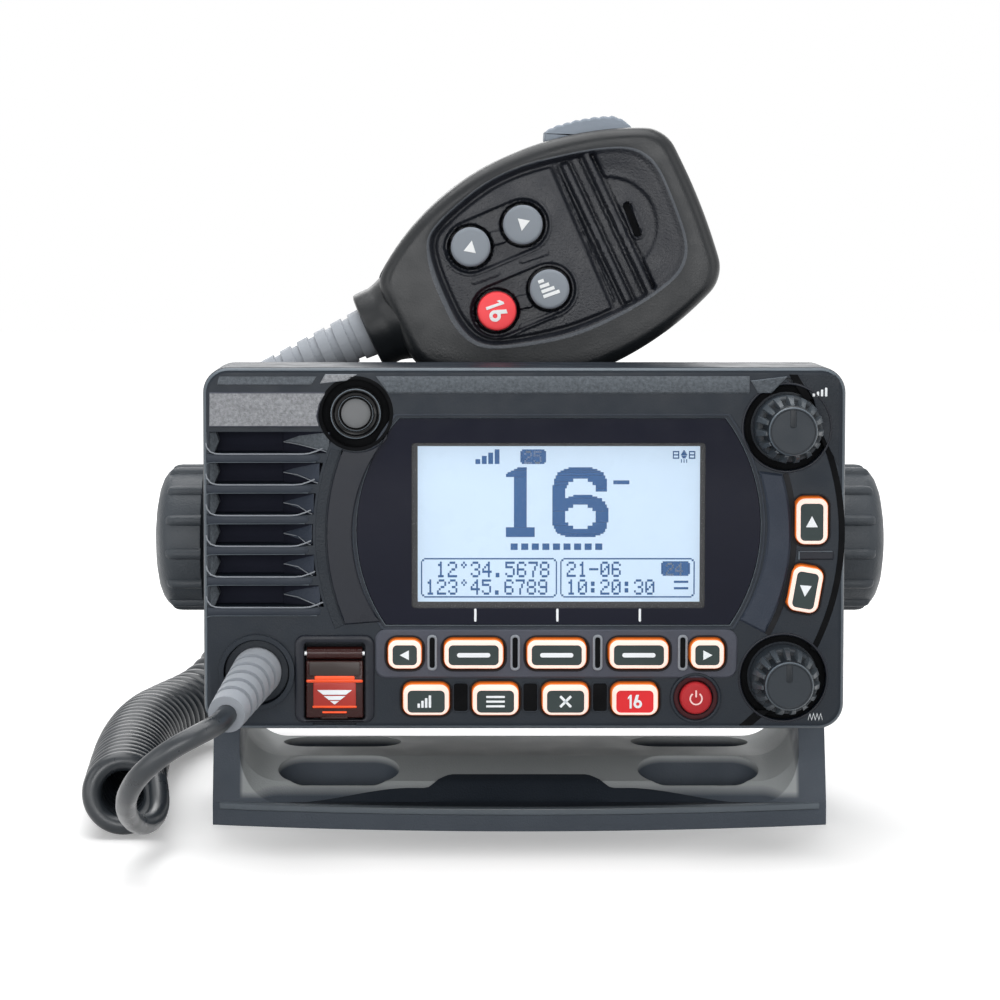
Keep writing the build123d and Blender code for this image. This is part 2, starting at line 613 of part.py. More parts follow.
def front_bezel():
    """Moulded front with louvres, display pocket, key holes, knob recesses and cover pocket."""
    body = slab(face_outline(), 0, BEZEL_DEPTH)
    body = fillet(body.faces().sort_by(Axis.Y)[0].edges(), EDGE_ROUND)
    body -= slab(face_outline(BEZEL_SIDE_WALL), FRONT_WALL, BEZEL_DEPTH + 1)

    # louvre box behind the wall
    louvre_low = LOUVRE_LOW_Z - LOUVRE_HEIGHT / 2 - LOUVRE_BACK
    louvre_high = louvre_low + (LOUVRE_COUNT - 1) * LOUVRE_PITCH + LOUVRE_HEIGHT + 2 * LOUVRE_BACK
    inner_left = -FACE_WIDTH / 2 + BEZEL_SIDE_WALL
    box_right = BARREL_X - BARREL_RADIUS + 4.0
    body += front_box(
        (inner_left - 1, box_right), (louvre_low, louvre_high), FRONT_WALL - 1, LOUVRE_DEPTH + LOUVRE_BACK
    )
    for slot in louvre_slots():
        body -= slot
    for index in range(1, LOUVRE_COUNT - 1):
        middle = LOUVRE_LOW_Z + index * LOUVRE_PITCH
        for shift in (-2, -1, 0, 1):
            hole_x = SPEAKER_AT[0] + shift * 4.0 * SOUND_HOLE
            body -= front_rod((hole_x, middle), SOUND_HOLE, LOUVRE_DEPTH - 1, LOUVRE_DEPTH + LOUVRE_BACK + 1)

    # display
    body -= slab(lens_outline(), -1, LENS_SUNK + LENS_THICK)
    body -= front_box(WINDOW_X, WINDOW_Z, 0, FRONT_WALL + 1)

    # arc groove on the right
    ring = Circle(GROOVE_RADIUS + GROOVE_WIDTH / 2) - Circle(GROOVE_RADIUS - GROOVE_WIDTH / 2)
    ring = Pos(GROOVE_X, BARREL_Z) * ring
    window_high = GROOVE_Z[1] - GROOVE_Z[0]
    keep = Pos(FACE_WIDTH / 2, sum(GROOVE_Z) / 2) * Rectangle(FACE_WIDTH / 2, window_high)
    body -= slab(ring & keep, -1, GROOVE_DEPTH)

    # keys
    for key in KEYS:
        body -= slab(key_outline(key, SLIP_GAP), -1, FRONT_WALL + 1)
    body -= slab(power_outline(SLIP_GAP), -1, FRONT_WALL + 1)

    # knobs
    for at in (VOLUME_AT, SQUELCH_AT):
        body -= front_rod(at, KNOB_RECESS_RADIUS, -1, KNOB_RECESS_DEPTH)
        body -= front_rod(at, SHAFT_RADIUS + RUNNING_FIT, 0, FRONT_WALL + 1)

    # status lamp
    body -= front_rod(LAMP_AT, LAMP_RECESS_RADIUS, -1, LAMP_RECESS_DEPTH)
    body -= front_rod(LAMP_AT, LAMP_RING_RADIUS - 1.0, 0, FRONT_WALL + 1)

    # distress pocket
    pocket_back = DISTRESS_POCKET + DISTRESS_FLOOR
    frame_x = (DISTRESS_X[0] - DISTRESS_FRAME, DISTRESS_X[1] + DISTRESS_FRAME)
    frame_z = (FACE_BOTTOM + 1.0, DISTRESS_Z[1] + DISTRESS_FRAME)
    body += front_box(frame_x, frame_z, FRONT_WALL - 1, pocket_back)
    body -= front_box(DISTRESS_X, DISTRESS_Z, -1, DISTRESS_POCKET)
    body -= front_rod(button_middle(), BUTTON_STEM + SLIP_GAP, 0, pocket_back + 1)
    finger_x = (DISTRESS_X[0] + 2.0, DISTRESS_X[1] - 2.0)
    body -= front_box(finger_x, (FACE_BOTTOM - 1, DISTRESS_Z[0] + 1), -1, COVER_LIP)
    body -= cross_rod(
        COVER_PIN_RADIUS + RUNNING_FIT, DISTRESS_X[0] - 1.6, DISTRESS_X[1] + 1.6, COVER_PIN_DEPTH, COVER_PIN_Z
    )

    # cord gland
    rim = Circle(GLAND_RADIUS + SLIP_GAP + GLAND_RIM)
    body += slab(Pos(*GLAND_AT) * rim, -GLAND_RIM_PROUD, 1)
    body -= front_rod(GLAND_AT, GLAND_RADIUS + SLIP_GAP, -GLAND_RIM_PROUD - 1, GLAND_RECESS_DEPTH)
    body -= front_rod(GLAND_AT, GLAND_THREAD_RADIUS + RUNNING_FIT, 0, FRONT_WALL + 1)

    # board posts and rear screw bosses
    for at in POSTS:
        body += front_rod(at, POST_RADIUS, FRONT_WALL - 0.5, BOARD_DEPTH)
        body -= front_rod(at, POST_SCREW_RADIUS, FRONT_WALL, BOARD_DEPTH + 1)
    boss_near = BEZEL_DEPTH - CHASSIS_SCREW_LENGTH
    for at in CHASSIS_SCREWS:
        corner = front_rod(at, 2 * CHASSIS_SCREW_RADIUS, boss_near, BEZEL_DEPTH)
        wall_x = math.copysign(FACE_WIDTH / 2 - BEZEL_SIDE_WALL / 2, at[0])
        web = front_box(ordered(at[0], wall_x), (at[1] - 1, at[1] + 1), boss_near, BEZEL_DEPTH)
        body += corner + web
        body -= front_rod(at, CHASSIS_SCREW_RADIUS, boss_near + 2, BEZEL_DEPTH + 1)
    return body


def button_middle():
    """Centre of the distress key in the front view."""
    return (sum(DISTRESS_X) / 2, sum(BUTTON_Z) / 2)


def display_lens():
    """Dark window over the display."""
    return slab(lens_outline(SLIP_GAP / 2), LENS_SUNK, LENS_SUNK + LENS_THICK - SEAT_GAP)


def lcd_panel():
    """Liquid crystal glass in the wall's window."""
    near = LENS_SUNK + LENS_THICK
    x_range = (WINDOW_X[0] + SLIP_GAP, WINDOW_X[1] - SLIP_GAP)
    z_range = (WINDOW_Z[0] + SLIP_GAP, WINDOW_Z[1] - SLIP_GAP)
    return front_box(x_range, z_range, near, near + LCD_THICK)


def lcd_backlight():
    """Backlight tray between the display glass and the front board."""
    near = LENS_SUNK + LENS_THICK + LCD_THICK + SEAT_GAP
    x_range = (WINDOW_X[0] - BACKLIGHT_MARGIN, WINDOW_X[1] + BACKLIGHT_MARGIN)
    z_range = (WINDOW_Z[0] - BACKLIGHT_MARGIN + 1.2, WINDOW_Z[1] + BACKLIGHT_MARGIN)
    return front_box(x_range, z_range, near, BOARD_DEPTH)


def front_board():
    """Front circuit board with a tab behind the distress key."""
    low = FACE_BOTTOM + BEZEL_SIDE_WALL + BOARD_INSET
    high = FACE_TOP - BEZEL_SIDE_WALL - BOARD_INSET
    board = front_box(BOARD_X, (low, high), BOARD_DEPTH, BOARD_DEPTH + BOARD_THICK)
    board += front_box(
        (BOARD_TAB_X, BOARD_X[0] + 1), (low, BOARD_TAB_Z), BOARD_DEPTH, BOARD_DEPTH + BOARD_THICK
    )
    for at in CHASSIS_SCREWS:
        board -= front_rod(at, 2 * CHASSIS_SCREW_RADIUS + 1, 0, BEZEL_DEPTH)
    for at in POSTS:
        board -= front_rod(at, POST_SCREW_RADIUS, 0, BEZEL_DEPTH)
    switch_x = (button_middle()[0] - SWITCH_SIDE / 2, button_middle()[0] + SWITCH_SIDE / 2)
    switch_z = (button_middle()[1] - SWITCH_SIDE / 2, button_middle()[1] + SWITCH_SIDE / 2)
    switch_front = DISTRESS_POCKET + DISTRESS_FLOOR + 3 * SEAT_GAP
    switch = front_box(switch_x, switch_z, switch_front, BOARD_DEPTH)
    return board + switch


def board_screws():
    """Screws that hold the front board to its posts."""
    screws = []
    back = BOARD_DEPTH + BOARD_THICK
    for at in POSTS:
        shank = front_rod(at, POST_SCREW_RADIUS - RUNNING_FIT, FRONT_WALL + 1, back + 0.5)
        screws.append(shank + front_rod(at, POST_RADIUS, back, back + 1.4))
    return screws


def keypad_membrane():
    """Rubber sheets on the front board with one dome behind each key."""
    far = BOARD_DEPTH
    near = far - MEMBRANE_THICK
    front = FRONT_WALL + SEAT_GAP + KEY_FLANGE_THICK + KEY_TRAVEL + SEAT_GAP
    low = FACE_BOTTOM + BEZEL_SIDE_WALL + BOARD_INSET
    lower = front_box(MEMBRANE_X, (low, ROW_ONE_Z + MEMBRANE_MARGIN), near, far)
    upper = front_box(SIDE_MEMBRANE_X, SIDE_MEMBRANE_Z, near, far)
    for key in KEYS:
        dome = front_rod((key[1], key[2]), DOME_RADIUS, front, far)
        if key[1] > SQUELCH_AT[0]:
            upper += dome
        else:
            lower += dome
    lower += front_rod(POWER_KEY_AT, DOME_RADIUS, front, far)
    return Compound([lower, upper])


def key_cap(outline):
    """One key: a rounded cap that stands proud and a flange behind the wall."""
    cap = slab(outline(0.0), -KEY_PROUD, FRONT_WALL + SEAT_GAP)
    cap = fillet(cap.faces().sort_by(Axis.Y)[0].edges(), KEY_ROUND)
    near = FRONT_WALL + SEAT_GAP
    return cap + slab(outline(KEY_FLANGE), near, near + KEY_FLANGE_THICK)


def control_pots():
    """Potentiometer bodies of the two knobs, on the front board."""
    pots = []
    for at in (VOLUME_AT, SQUELCH_AT):
        x_range = (at[0] - POT_SIDE / 2, at[0] + POT_SIDE / 2)
        z_range = (at[1] - POT_SIDE / 2, at[1] + POT_SIDE / 2)
        body = front_box(x_range, z_range, FRONT_WALL + SEAT_GAP, BOARD_DEPTH)
        pots.append(body - front_rod(at, SHAFT_RADIUS + RUNNING_FIT, 0, BOARD_DEPTH - 1))
    return Compound(pots)


def control_shaft(at):
    """Potentiometer shaft that carries a knob."""
    knob_back = KNOB_RECESS_DEPTH - SLIP_GAP
    return front_rod(at, SHAFT_RADIUS, knob_back - SHAFT_IN_KNOB, BOARD_DEPTH - 1 - SEAT_GAP)


def control_knob(at):
    """Round knob: fluted skirt, tapered top and a blind bore for the shaft."""
    back = KNOB_RECESS_DEPTH - SLIP_GAP
    skirt = Cylinder(KNOB_BASE_RADIUS, KNOB_SKIRT, align=(Align.CENTER, Align.CENTER, Align.MIN))
    top_height = KNOB_HEIGHT - KNOB_SKIRT
    top = Pos(0, 0, KNOB_SKIRT) * Cone(
        KNOB_BASE_RADIUS - 1.0, KNOB_CAP_RADIUS, top_height, align=(Align.CENTER, Align.CENTER, Align.MIN)
    )
    top = fillet(top.edges().group_by(Axis.Z)[-1], 0.8)
    knob = skirt + top
    for index in range(KNOB_FLUTES):
        angle = math.radians(360.0 * (index + 0.5) / KNOB_FLUTES)
        place = Pos(KNOB_BASE_RADIUS * math.cos(angle), KNOB_BASE_RADIUS * math.sin(angle), 1.2)
        knob -= place * Cylinder(
            KNOB_FLUTE_RADIUS, KNOB_HEIGHT, align=(Align.CENTER, Align.CENTER, Align.MIN)
        )
    knob -= Cylinder(
        SHAFT_RADIUS + RUNNING_FIT / 2, SHAFT_IN_KNOB + SEAT_GAP, align=(Align.CENTER, Align.CENTER, Align.MIN)
    )
    return Pos(at[0], at_depth(back), at[1]) * Rot(90, 0, 0) * knob


def distress_cover():
    """Clear flip cover that turns on the pin along its top edge."""
    x_range = (DISTRESS_X[0] + SLIP_GAP, DISTRESS_X[1] - SLIP_GAP)
    near = COVER_PIN_DEPTH - COVER_THICK
    plate = front_box(x_range, (DISTRESS_Z[0] + SLIP_GAP, COVER_PIN_Z), near, COVER_PIN_DEPTH)
    knuckle = cross_rod(COVER_KNUCKLE, x_range[0], x_range[1], COVER_PIN_DEPTH, COVER_PIN_Z)
    lip_x = (DISTRESS_X[0] + 2.0 + SLIP_GAP, DISTRESS_X[1] - 2.0 - SLIP_GAP)
    lip_far = COVER_LIP - SLIP_GAP
    lip = front_box(lip_x, (FACE_BOTTOM + 1.0, DISTRESS_Z[0] + 1), near, lip_far)
    bore = cross_rod(COVER_PIN_RADIUS + RUNNING_FIT, x_range[0] - 1, x_range[1] + 1, COVER_PIN_DEPTH, COVER_PIN_Z)
    return plate + knuckle + lip - bore


def cover_hinge_pin():
    """Steel pin of the flip cover."""
    return cross_rod(
        COVER_PIN_RADIUS, DISTRESS_X[0] - 1.5, DISTRESS_X[1] + 1.5, COVER_PIN_DEPTH, COVER_PIN_Z
    )


def distress_button():
    """Distress key under the flip cover, with its stem."""
    x_range = (DISTRESS_X[0] + 2.0, DISTRESS_X[1] - 2.0)
    back = BUTTON_FRONT + BUTTON_THICK
    cap = front_box(x_range, BUTTON_Z, BUTTON_FRONT, back)
    cap = fillet(cap.edges().filter_by(Axis.Y), 1.5)
    stem_end = DISTRESS_POCKET + DISTRESS_FLOOR + SEAT_GAP - BUTTON_TRAVEL
    return cap + front_rod(button_middle(), BUTTON_STEM, back - 0.5, stem_end)


def lamp_ring():
    """Glossy ring of the status lamp, with a spigot through the wall."""
    ring = front_rod(LAMP_AT, LAMP_RING_RADIUS, LAMP_RECESS_DEPTH - 1.4, LAMP_RECESS_DEPTH)
    ring += front_rod(LAMP_AT, LAMP_RING_RADIUS - 1.0 - RUNNING_FIT, LAMP_RECESS_DEPTH, FRONT_WALL + 1)
    return ring - front_rod(LAMP_AT, LAMP_LENS_RADIUS + RUNNING_FIT, 0, FRONT_WALL + 2)


def lamp_lens():
    """Light pipe of the status lamp, down to the front board's depth."""
    return front_rod(LAMP_AT, LAMP_LENS_RADIUS, LAMP_RECESS_DEPTH - 1.2, FRONT_WALL + 1)


def speaker():
    """Loudspeaker basket and magnet behind the louvres."""
    near = LOUVRE_DEPTH + LOUVRE_BACK + SEAT_GAP
    rim = front_rod(SPEAKER_AT, SPEAKER_RADIUS, near, near + 2)
    basket = Pos(SPEAKER_AT[0], at_depth(near + 2), SPEAKER_AT[1]) * Rot(-90, 0, 0) * Cone(
        SPEAKER_RADIUS - 1, SPEAKER_MAGNET, 4, align=(Align.CENTER, Align.CENTER, Align.MIN)
    )
    magnet = front_rod(SPEAKER_AT, SPEAKER_MAGNET, near + 6, near + SPEAKER_DEPTH)
    frame = rim + basket + magnet
    frame -= front_rod(SPEAKER_AT, SPEAKER_RADIUS - SPEAKER_RIM, near - 1, near + 3)
    return Compound([frame, speaker_cone(near + SEAT_GAP)])


def speaker_cone(near):
    """Paper cone in the basket."""
    radius = SPEAKER_RADIUS - SPEAKER_RIM - SEAT_GAP
    cone = Cone(radius, 3.0, 2.6, align=(Align.CENTER, Align.CENTER, Align.MIN))
    hollow = Pos(0, 0, -0.6) * Cone(radius, 3.0, 2.6, align=(Align.CENTER, Align.CENTER, Align.MIN))
    return Pos(SPEAKER_AT[0], at_depth(near), SPEAKER_AT[1]) * Rot(-90, 0, 0) * (cone - hollow)


def tapered_boot(length, start_radius, tip_radius, grooves, groove_depth):
    """Strain relief along +Z from the origin, with rings cut into its length."""
    slope = (tip_radius - start_radius) / length
    step = length / (grooves * 2 + 2)
    points = [(0, 0), (start_radius, 0)]
    for index in range(grooves):
        low = step * (2 * index + 1.4)
        high = low + 0.8 * step
        outer_low = start_radius + slope * low
        outer_high = start_radius + slope * high
        points += [
            (outer_low, low),
            (outer_low - groove_depth, low),
            (outer_high - groove_depth, high),
            (outer_high, high),
        ]
    points += [(tip_radius, length), (0, length)]
    profile = make_face(Polyline(*points, close=True))
    return revolve(Plane.XZ * profile, Axis.Z)


def along(start, end):
    """Plane at start whose normal points to end."""
    return Plane(start, z_dir=Vector(*end) - Vector(*start))


def radio_cord_boot():
    """Ribbed boot that leaves the gland down to the left."""
    start = (GLAND_AT[0], at_depth(0), GLAND_AT[1])
    length = (Vector(*BOOT_TIP) - Vector(*start)).length - SEAT_GAP
    boot = tapered_boot(length, BOOT_BASE_RADIUS, BOOT_TIP_RADIUS, BOOT_GROOVE_COUNT, BOOT_GROOVE_DEPTH)
    boot = along(start, BOOT_TIP) * boot
    boot += Pos(*start) * Sphere(BOOT_BASE_RADIUS)
    behind = GLAND_RECESS_DEPTH - GLAND_FLANGE
    return boot - front_rod(GLAND_AT, 2 * GLAND_RADIUS, behind, behind + 2 * BOOT_BASE_RADIUS)


def cord_gland():
    """Threaded gland in the face, with its lock nut inside."""
    head_front = GLAND_RECESS_DEPTH - GLAND_FLANGE + SEAT_GAP
    head = front_rod(GLAND_AT, GLAND_RADIUS, head_front, GLAND_RECESS_DEPTH - SEAT_GAP / 2)
    thread_end = FRONT_WALL + GLAND_THREAD_LENGTH
    thread = front_rod(GLAND_AT, GLAND_THREAD_RADIUS, GLAND_RECESS_DEPTH - 1, thread_end)
    nut = Pos(*GLAND_AT) * RegularPolygon(GLAND_RADIUS - 0.5, 6)
    return head + thread + slab(nut, FRONT_WALL + SEAT_GAP, FRONT_WALL + 4)


# ---------------------------------------------------------------- rear chassis and what it carries
def case_outline(inset=0.0):
    """The rear case's rounded outline in the front view."""
    height = CASE_TOP - CASE_BOTTOM
    radius = max(CASE_CORNER - inset, 1.0)
    return Pos(0, CASE_BOTTOM + height / 2) * RectangleRounded(
        2 * (CASE_HALF_WIDTH - inset), height - 2 * inset, radius
    )


def boss_range(side):
    """X of a gimbal boss's root, on the case's side wall, and of its end."""
    boss_end = gimbal_side(side)["boss"] - side * SEAT_GAP
    root = min(CASE_HALF_WIDTH, abs(boss_end) - INSERT_LENGTH - BOSS_ROOT)
    return side * root, boss_end


def gimbal_boss(side):
    """Boss on the case's side wall, bored for its threaded insert."""
    root, boss_end = boss_range(side)
    boss = axis_rod(BOSS_RADIUS, root, boss_end)
    boss -= axis_rod(INSERT_RADIUS, boss_end - side * INSERT_LENGTH, boss_end + side)
    return boss - axis_rod(SCREW_RADIUS + SLIP_GAP, root - side, boss_end)


def rear_chassis():
    """Cast rear case with a front flange, heat-sink fins and a gimbal boss on each side."""
    near = BEZEL_DEPTH + GASKET_THICK
    body = slab(face_outline(FLANGE_INSET), near, near + FLANGE_THICK)
    body += slab(case_outline(), near, CASE_REAR)
    body -= slab(case_outline(CASE_WALL), near - 1, CASE_REAR - CASE_WALL)
    for side in (-1, 1):
        root, boss_end = boss_range(side)
        body -= axis_rod(BOSS_RADIUS, root, boss_end)
        body -= axis_rod(SCREW_RADIUS + SLIP_GAP, root - side * BOSS_ROOT, boss_end)
    fin_low = CASE_BOTTOM + FIN_MARGIN
    fin_high = CASE_TOP - FIN_MARGIN
    for index in range(FIN_COUNT):
        middle = (index - (FIN_COUNT - 1) / 2) * FIN_PITCH
        x_range = (middle - FIN_THICK / 2, middle + FIN_THICK / 2)
        body += front_box(x_range, (fin_low, fin_high), CASE_REAR - 0.5, CASE_REAR + FIN_LENGTH)
    ledge_low = MAIN_BOARD_Z - 2.0
    for side in (-1, 1):
        ledge_x = ordered(side * (MAIN_BOARD_HALF - 3), side * (CASE_HALF_WIDTH - CASE_WALL + 0.5))
        body += front_box(ledge_x, (ledge_low, MAIN_BOARD_Z), MAIN_BOARD_DEPTH[0], CASE_REAR - CASE_WALL + 0.5)
    for at in CHASSIS_SCREWS:
        body -= front_rod(at, CHASSIS_SCREW_RADIUS + SEAT_GAP, near - 1, near + FLANGE_THICK + 1)
    body -= front_rod(SOCKET_AT, SOCKET_DIELECTRIC, CASE_REAR - CASE_WALL - 1, CASE_REAR + 1)
    for x, z, radius in INLETS:
        body -= front_rod((x, z), radius - 2.0, CASE_REAR - CASE_WALL - 1, CASE_REAR + 1)
    return Compound([body, gimbal_boss(-1), gimbal_boss(1)])


def body_gasket():
    """Rubber seal between the bezel and the chassis flange."""
    gasket = slab(face_outline(FLANGE_INSET - 1.4), BEZEL_DEPTH, BEZEL_DEPTH + GASKET_THICK)
    gasket -= slab(case_outline(CASE_WALL), BEZEL_DEPTH - 1, BEZEL_DEPTH + GASKET_THICK + 1)
    for at in CHASSIS_SCREWS:
        gasket -= front_rod(at, CHASSIS_SCREW_RADIUS + SEAT_GAP, BEZEL_DEPTH - 1, BEZEL_DEPTH + GASKET_THICK + 1)
    return gasket


def chassis_screws():
    """Screws from the flange's rear into the bezel bosses."""
    screws = []
    flange_back = BEZEL_DEPTH + GASKET_THICK + FLANGE_THICK
    for at in CHASSIS_SCREWS:
        tip = BEZEL_DEPTH - CHASSIS_SCREW_LENGTH + 3
        shank = front_rod(at, CHASSIS_SCREW_RADIUS - RUNNING_FIT, tip, flange_back + 0.5)
        screws.append(shank + front_rod(at, CHASSIS_SCREW_HEAD, flange_back, flange_back + 2.0))
    return screws


def main_board():
    """Main circuit board on the case's ledges, with its shield can."""
    half = MAIN_BOARD_HALF
    board = front_box(
        (-half, half), (MAIN_BOARD_Z + SEAT_GAP, MAIN_BOARD_Z + BOARD_THICK), *MAIN_BOARD_DEPTH
    )
    can_low = MAIN_BOARD_Z + BOARD_THICK
    can = front_box(SHIELD_X, (can_low, can_low + SHIELD_HEIGHT), *SHIELD_DEPTH)
    return Compound([board, can])


def power_amplifier():
    """Transmitter module bolted to the rear wall above the board."""
    low = MAIN_BOARD_Z + BOARD_THICK + SEAT_GAP
    far = CASE_REAR - CASE_WALL - SEAT_GAP
    return front_box(AMPLIFIER_X, (low, low + AMPLIFIER_HEIGHT), far - AMPLIFIER_THICK, far)


def antenna_socket():
    """Panel coaxial socket on the rear wall."""
    near = CASE_REAR + SEAT_GAP
    square = front_box(
        (SOCKET_AT[0] - SOCKET_FLANGE / 2, SOCKET_AT[0] + SOCKET_FLANGE / 2),
        (SOCKET_AT[1] - SOCKET_FLANGE / 2, SOCKET_AT[1] + SOCKET_FLANGE / 2),
        near, near + SOCKET_FLANGE_THICK,
    )
    far = near + SOCKET_FLANGE_THICK + SOCKET_LENGTH
    barrel = front_rod(SOCKET_AT, SOCKET_RADIUS, near, far)
    core = front_rod(SOCKET_AT, SOCKET_DIELECTRIC - SLIP_GAP, CASE_REAR - CASE_WALL, near + 1)
    return square + barrel + core - front_rod(SOCKET_AT, SOCKET_CONTACT, near + 3, far + 1)


def rear_inlets():
    """Rubber inlets of the supply lead and the data lead, in the rear wall."""
    inlets = []
    for x, z, radius in INLETS:
        far = CASE_REAR + SEAT_GAP + INLET_LENGTH
        outside = front_rod((x, z), radius, CASE_REAR + SEAT_GAP, far)
        inside = front_rod((x, z), radius - 2.0 - SEAT_GAP, CASE_REAR - CASE_WALL, far - 1)
        inlets.append(outside + inside - front_rod((x, z), radius - 4.0, CASE_REAR, far + 1))
    return Compound(inlets)


# ---------------------------------------------------------------- fist microphone
MIC_PLANE = Plane(
    (MIC_X, at_depth(MIC_DEPTH), MIC_Z),
    x_dir=(math.cos(math.radians(MIC_LEAN)), 0, math.sin(math.radians(MIC_LEAN))),
    z_dir=(0, -1, 0),
)


def mic_outline(inset=0.0):
    """Palm-shaped outline of the fist microphone in its own plane, drawn in by an inset."""
    points = []
    for u, v in MIC_POINTS:
        reach = math.hypot(u, v - MIC_CENTRE_V)
        share = 1 - inset / reach
        points.append((u * share, MIC_CENTRE_V + (v - MIC_CENTRE_V) * share))
    edges = [
        ThreePointArc(points[index], points[index + 1], points[index + 2])
        for index in range(0, len(points) - 2, 2)
    ]
    edges.append(Line(points[-1], points[0]))
    outline = make_face(Wire(edges))
    return fillet(outline.vertices(), max(MIC_CORNER - inset / 2, 1.0))


def local_slab(profile, low, high):
    """A profile in the microphone's plane made solid between two local heights."""
    return extrude(Plane.XY.offset(low) * profile, high - low)


def collar(low, high):
    """Half of the round collar around the boot's root."""
    rod = Pos(COLLAR_END_U, 0, 0) * Rot(0, 90, 0) * Cylinder(
        COLLAR_RADIUS, 9.0, align=(Align.CENTER, Align.CENTER, Align.MIN)
    )
    bore = Pos(COLLAR_END_U - 1, 0, 0) * Rot(0, 90, 0) * Cylinder(
        MIC_BOOT_START_RADIUS + SEAT_GAP, 8.0, align=(Align.CENTER, Align.CENTER, Align.MIN)
    )
    half = local_slab(Pos(COLLAR_END_U + 4, 0) * Rectangle(20, 4 * COLLAR_RADIUS), low, high)
    return (rod - bore) & half


def ptt_outline(grow=0.0):
    """Outline of the push-to-talk bar in the microphone's plane."""
    return make_face(Polyline(
        (PTT_U[0] - grow, PTT_INNER_V - grow),
        (PTT_U[0] - grow, PTT_END_V[0] + grow),
        *((u, v + grow) for u, v in PTT_CREST),
        (PTT_U[1] + grow, PTT_END_V[1] + grow),
        (PTT_U[1] + grow, PTT_INNER_V - grow),
        close=True,
    ))


def ptt_room():
    """Space that the push-to-talk bar needs over its travel."""
    half = PTT_HALF + SLIP_GAP
    room = local_slab(ptt_outline(SLIP_GAP), -half, half)
    return room + Pos(0, -PTT_TRAVEL, 0) * room


def mic_front_shell():
    """Front half shell: bevelled edge, sunk panel, key holes, finger ribs and sound slot."""
    outline = mic_outline()
    shell = local_slab(outline, 0, MIC_FRONT)
    shell = fillet(shell.faces().sort_by(Axis.Z)[-1].edges(), MIC_EDGE)
    shell -= local_slab(mic_outline(MIC_WALL), -1, MIC_FRONT - 2 * MIC_WALL)
    panel = local_slab(mic_outline(MIC_PANEL_INSET), MIC_FRONT - MIC_PANEL_SUNK, MIC_FRONT + 1)
    for u in MIC_RIBS:
        panel -= local_slab(
            Pos(u, MIC_RIB_MID_V) * Rectangle(MIC_RIB_WIDTH, 2 * MIC_RIB_HALF_LENGTH), 0, MIC_FRONT + 2
        )
    shell -= panel
    groove_shift = (MIC_RIB_WIDTH + MIC_GROOVE_WIDTH) / 2
    for u in MIC_RIBS:
        for shift in (-groove_shift, groove_shift):
            groove = Pos(u + shift, MIC_RIB_MID_V) * Rectangle(MIC_GROOVE_WIDTH, 2 * MIC_RIB_HALF_LENGTH - 4)
            shell -= local_slab(groove, MIC_FRONT - 3.0, MIC_FRONT + 1)
    for pair in (MIC_KEYS[:2], MIC_KEYS[2:]):
        middle = ((pair[0][1] + pair[1][1]) / 2, (pair[0][2] + pair[1][2]) / 2)
        track = SlotCenterToCenter(pair[1][1] - pair[0][1], 2 * MIC_KEY_RADIUS + 2.4)
        shell -= local_slab(Pos(*middle) * track, MIC_FRONT - MIC_PANEL_SUNK - 1.0, MIC_FRONT + 1)
    for _, u, v in MIC_KEYS:
        shell -= local_slab(Pos(u, v) * Circle(MIC_KEY_RADIUS + SLIP_GAP), 0, MIC_FRONT + 1)
    slot = Pos(*MIC_SLOT_AT) * Rot(0, 0, 90) * SlotOverall(MIC_SLOT_LENGTH, MIC_SLOT_WIDTH)
    shell -= local_slab(slot, 0, MIC_FRONT + 1)
    shell += collar(0, COLLAR_RADIUS)
    for u, v in MIC_SCREWS:
        shell += local_slab(Pos(u, v) * Circle(2.6), 0, MIC_FRONT - 2 * MIC_WALL + 0.5)
        shell -= local_slab(Pos(u, v) * Circle(MIC_SCREW_RADIUS), -1, MIC_FRONT - 2 * MIC_WALL - 1.5)
    shell -= ptt_room()
    return MIC_PLANE * shell


def mic_rear_shell():
    """Rear half shell with screw bosses and the hanger stud's seat."""
    outline = mic_outline()
    shell = local_slab(outline, -MIC_BACK, 0)
    shell = fillet(shell.faces().sort_by(Axis.Z)[0].edges(), MIC_EDGE + 1)
    shell -= local_slab(mic_outline(MIC_WALL), -MIC_BACK + MIC_WALL, 1)
    shell += collar(-COLLAR_RADIUS, 0)
    for u, v in MIC_SCREWS:
        shell += local_slab(Pos(u, v) * Circle(3.4), -MIC_BACK + MIC_WALL - 0.5, 0)
        shell -= local_slab(Pos(u, v) * Circle(MIC_SCREW_RADIUS + SEAT_GAP), -MIC_BACK - 1, 1)
        shell -= local_slab(Pos(u, v) * Circle(2.6), -MIC_BACK - 1, -MIC_BACK + 3)
    shell -= local_slab(Pos(*STUD_AT) * Circle(MIC_SCREW_RADIUS + SEAT_GAP), -MIC_BACK - 1, 0)
    shell -= ptt_room()
    return MIC_PLANE * shell


def mic_screws():
    """Screws that close the microphone from behind."""
    screws = []
    for u, v in MIC_SCREWS:
        shank = local_slab(Pos(u, v) * Circle(MIC_SCREW_RADIUS - RUNNING_FIT), -MIC_BACK + 3, 4)
        head = local_slab(Pos(u, v) * Circle(2.5), -MIC_BACK + 0.8, -MIC_BACK + 3)
        screws.append(shank + head)
    return MIC_PLANE * Compound(screws)


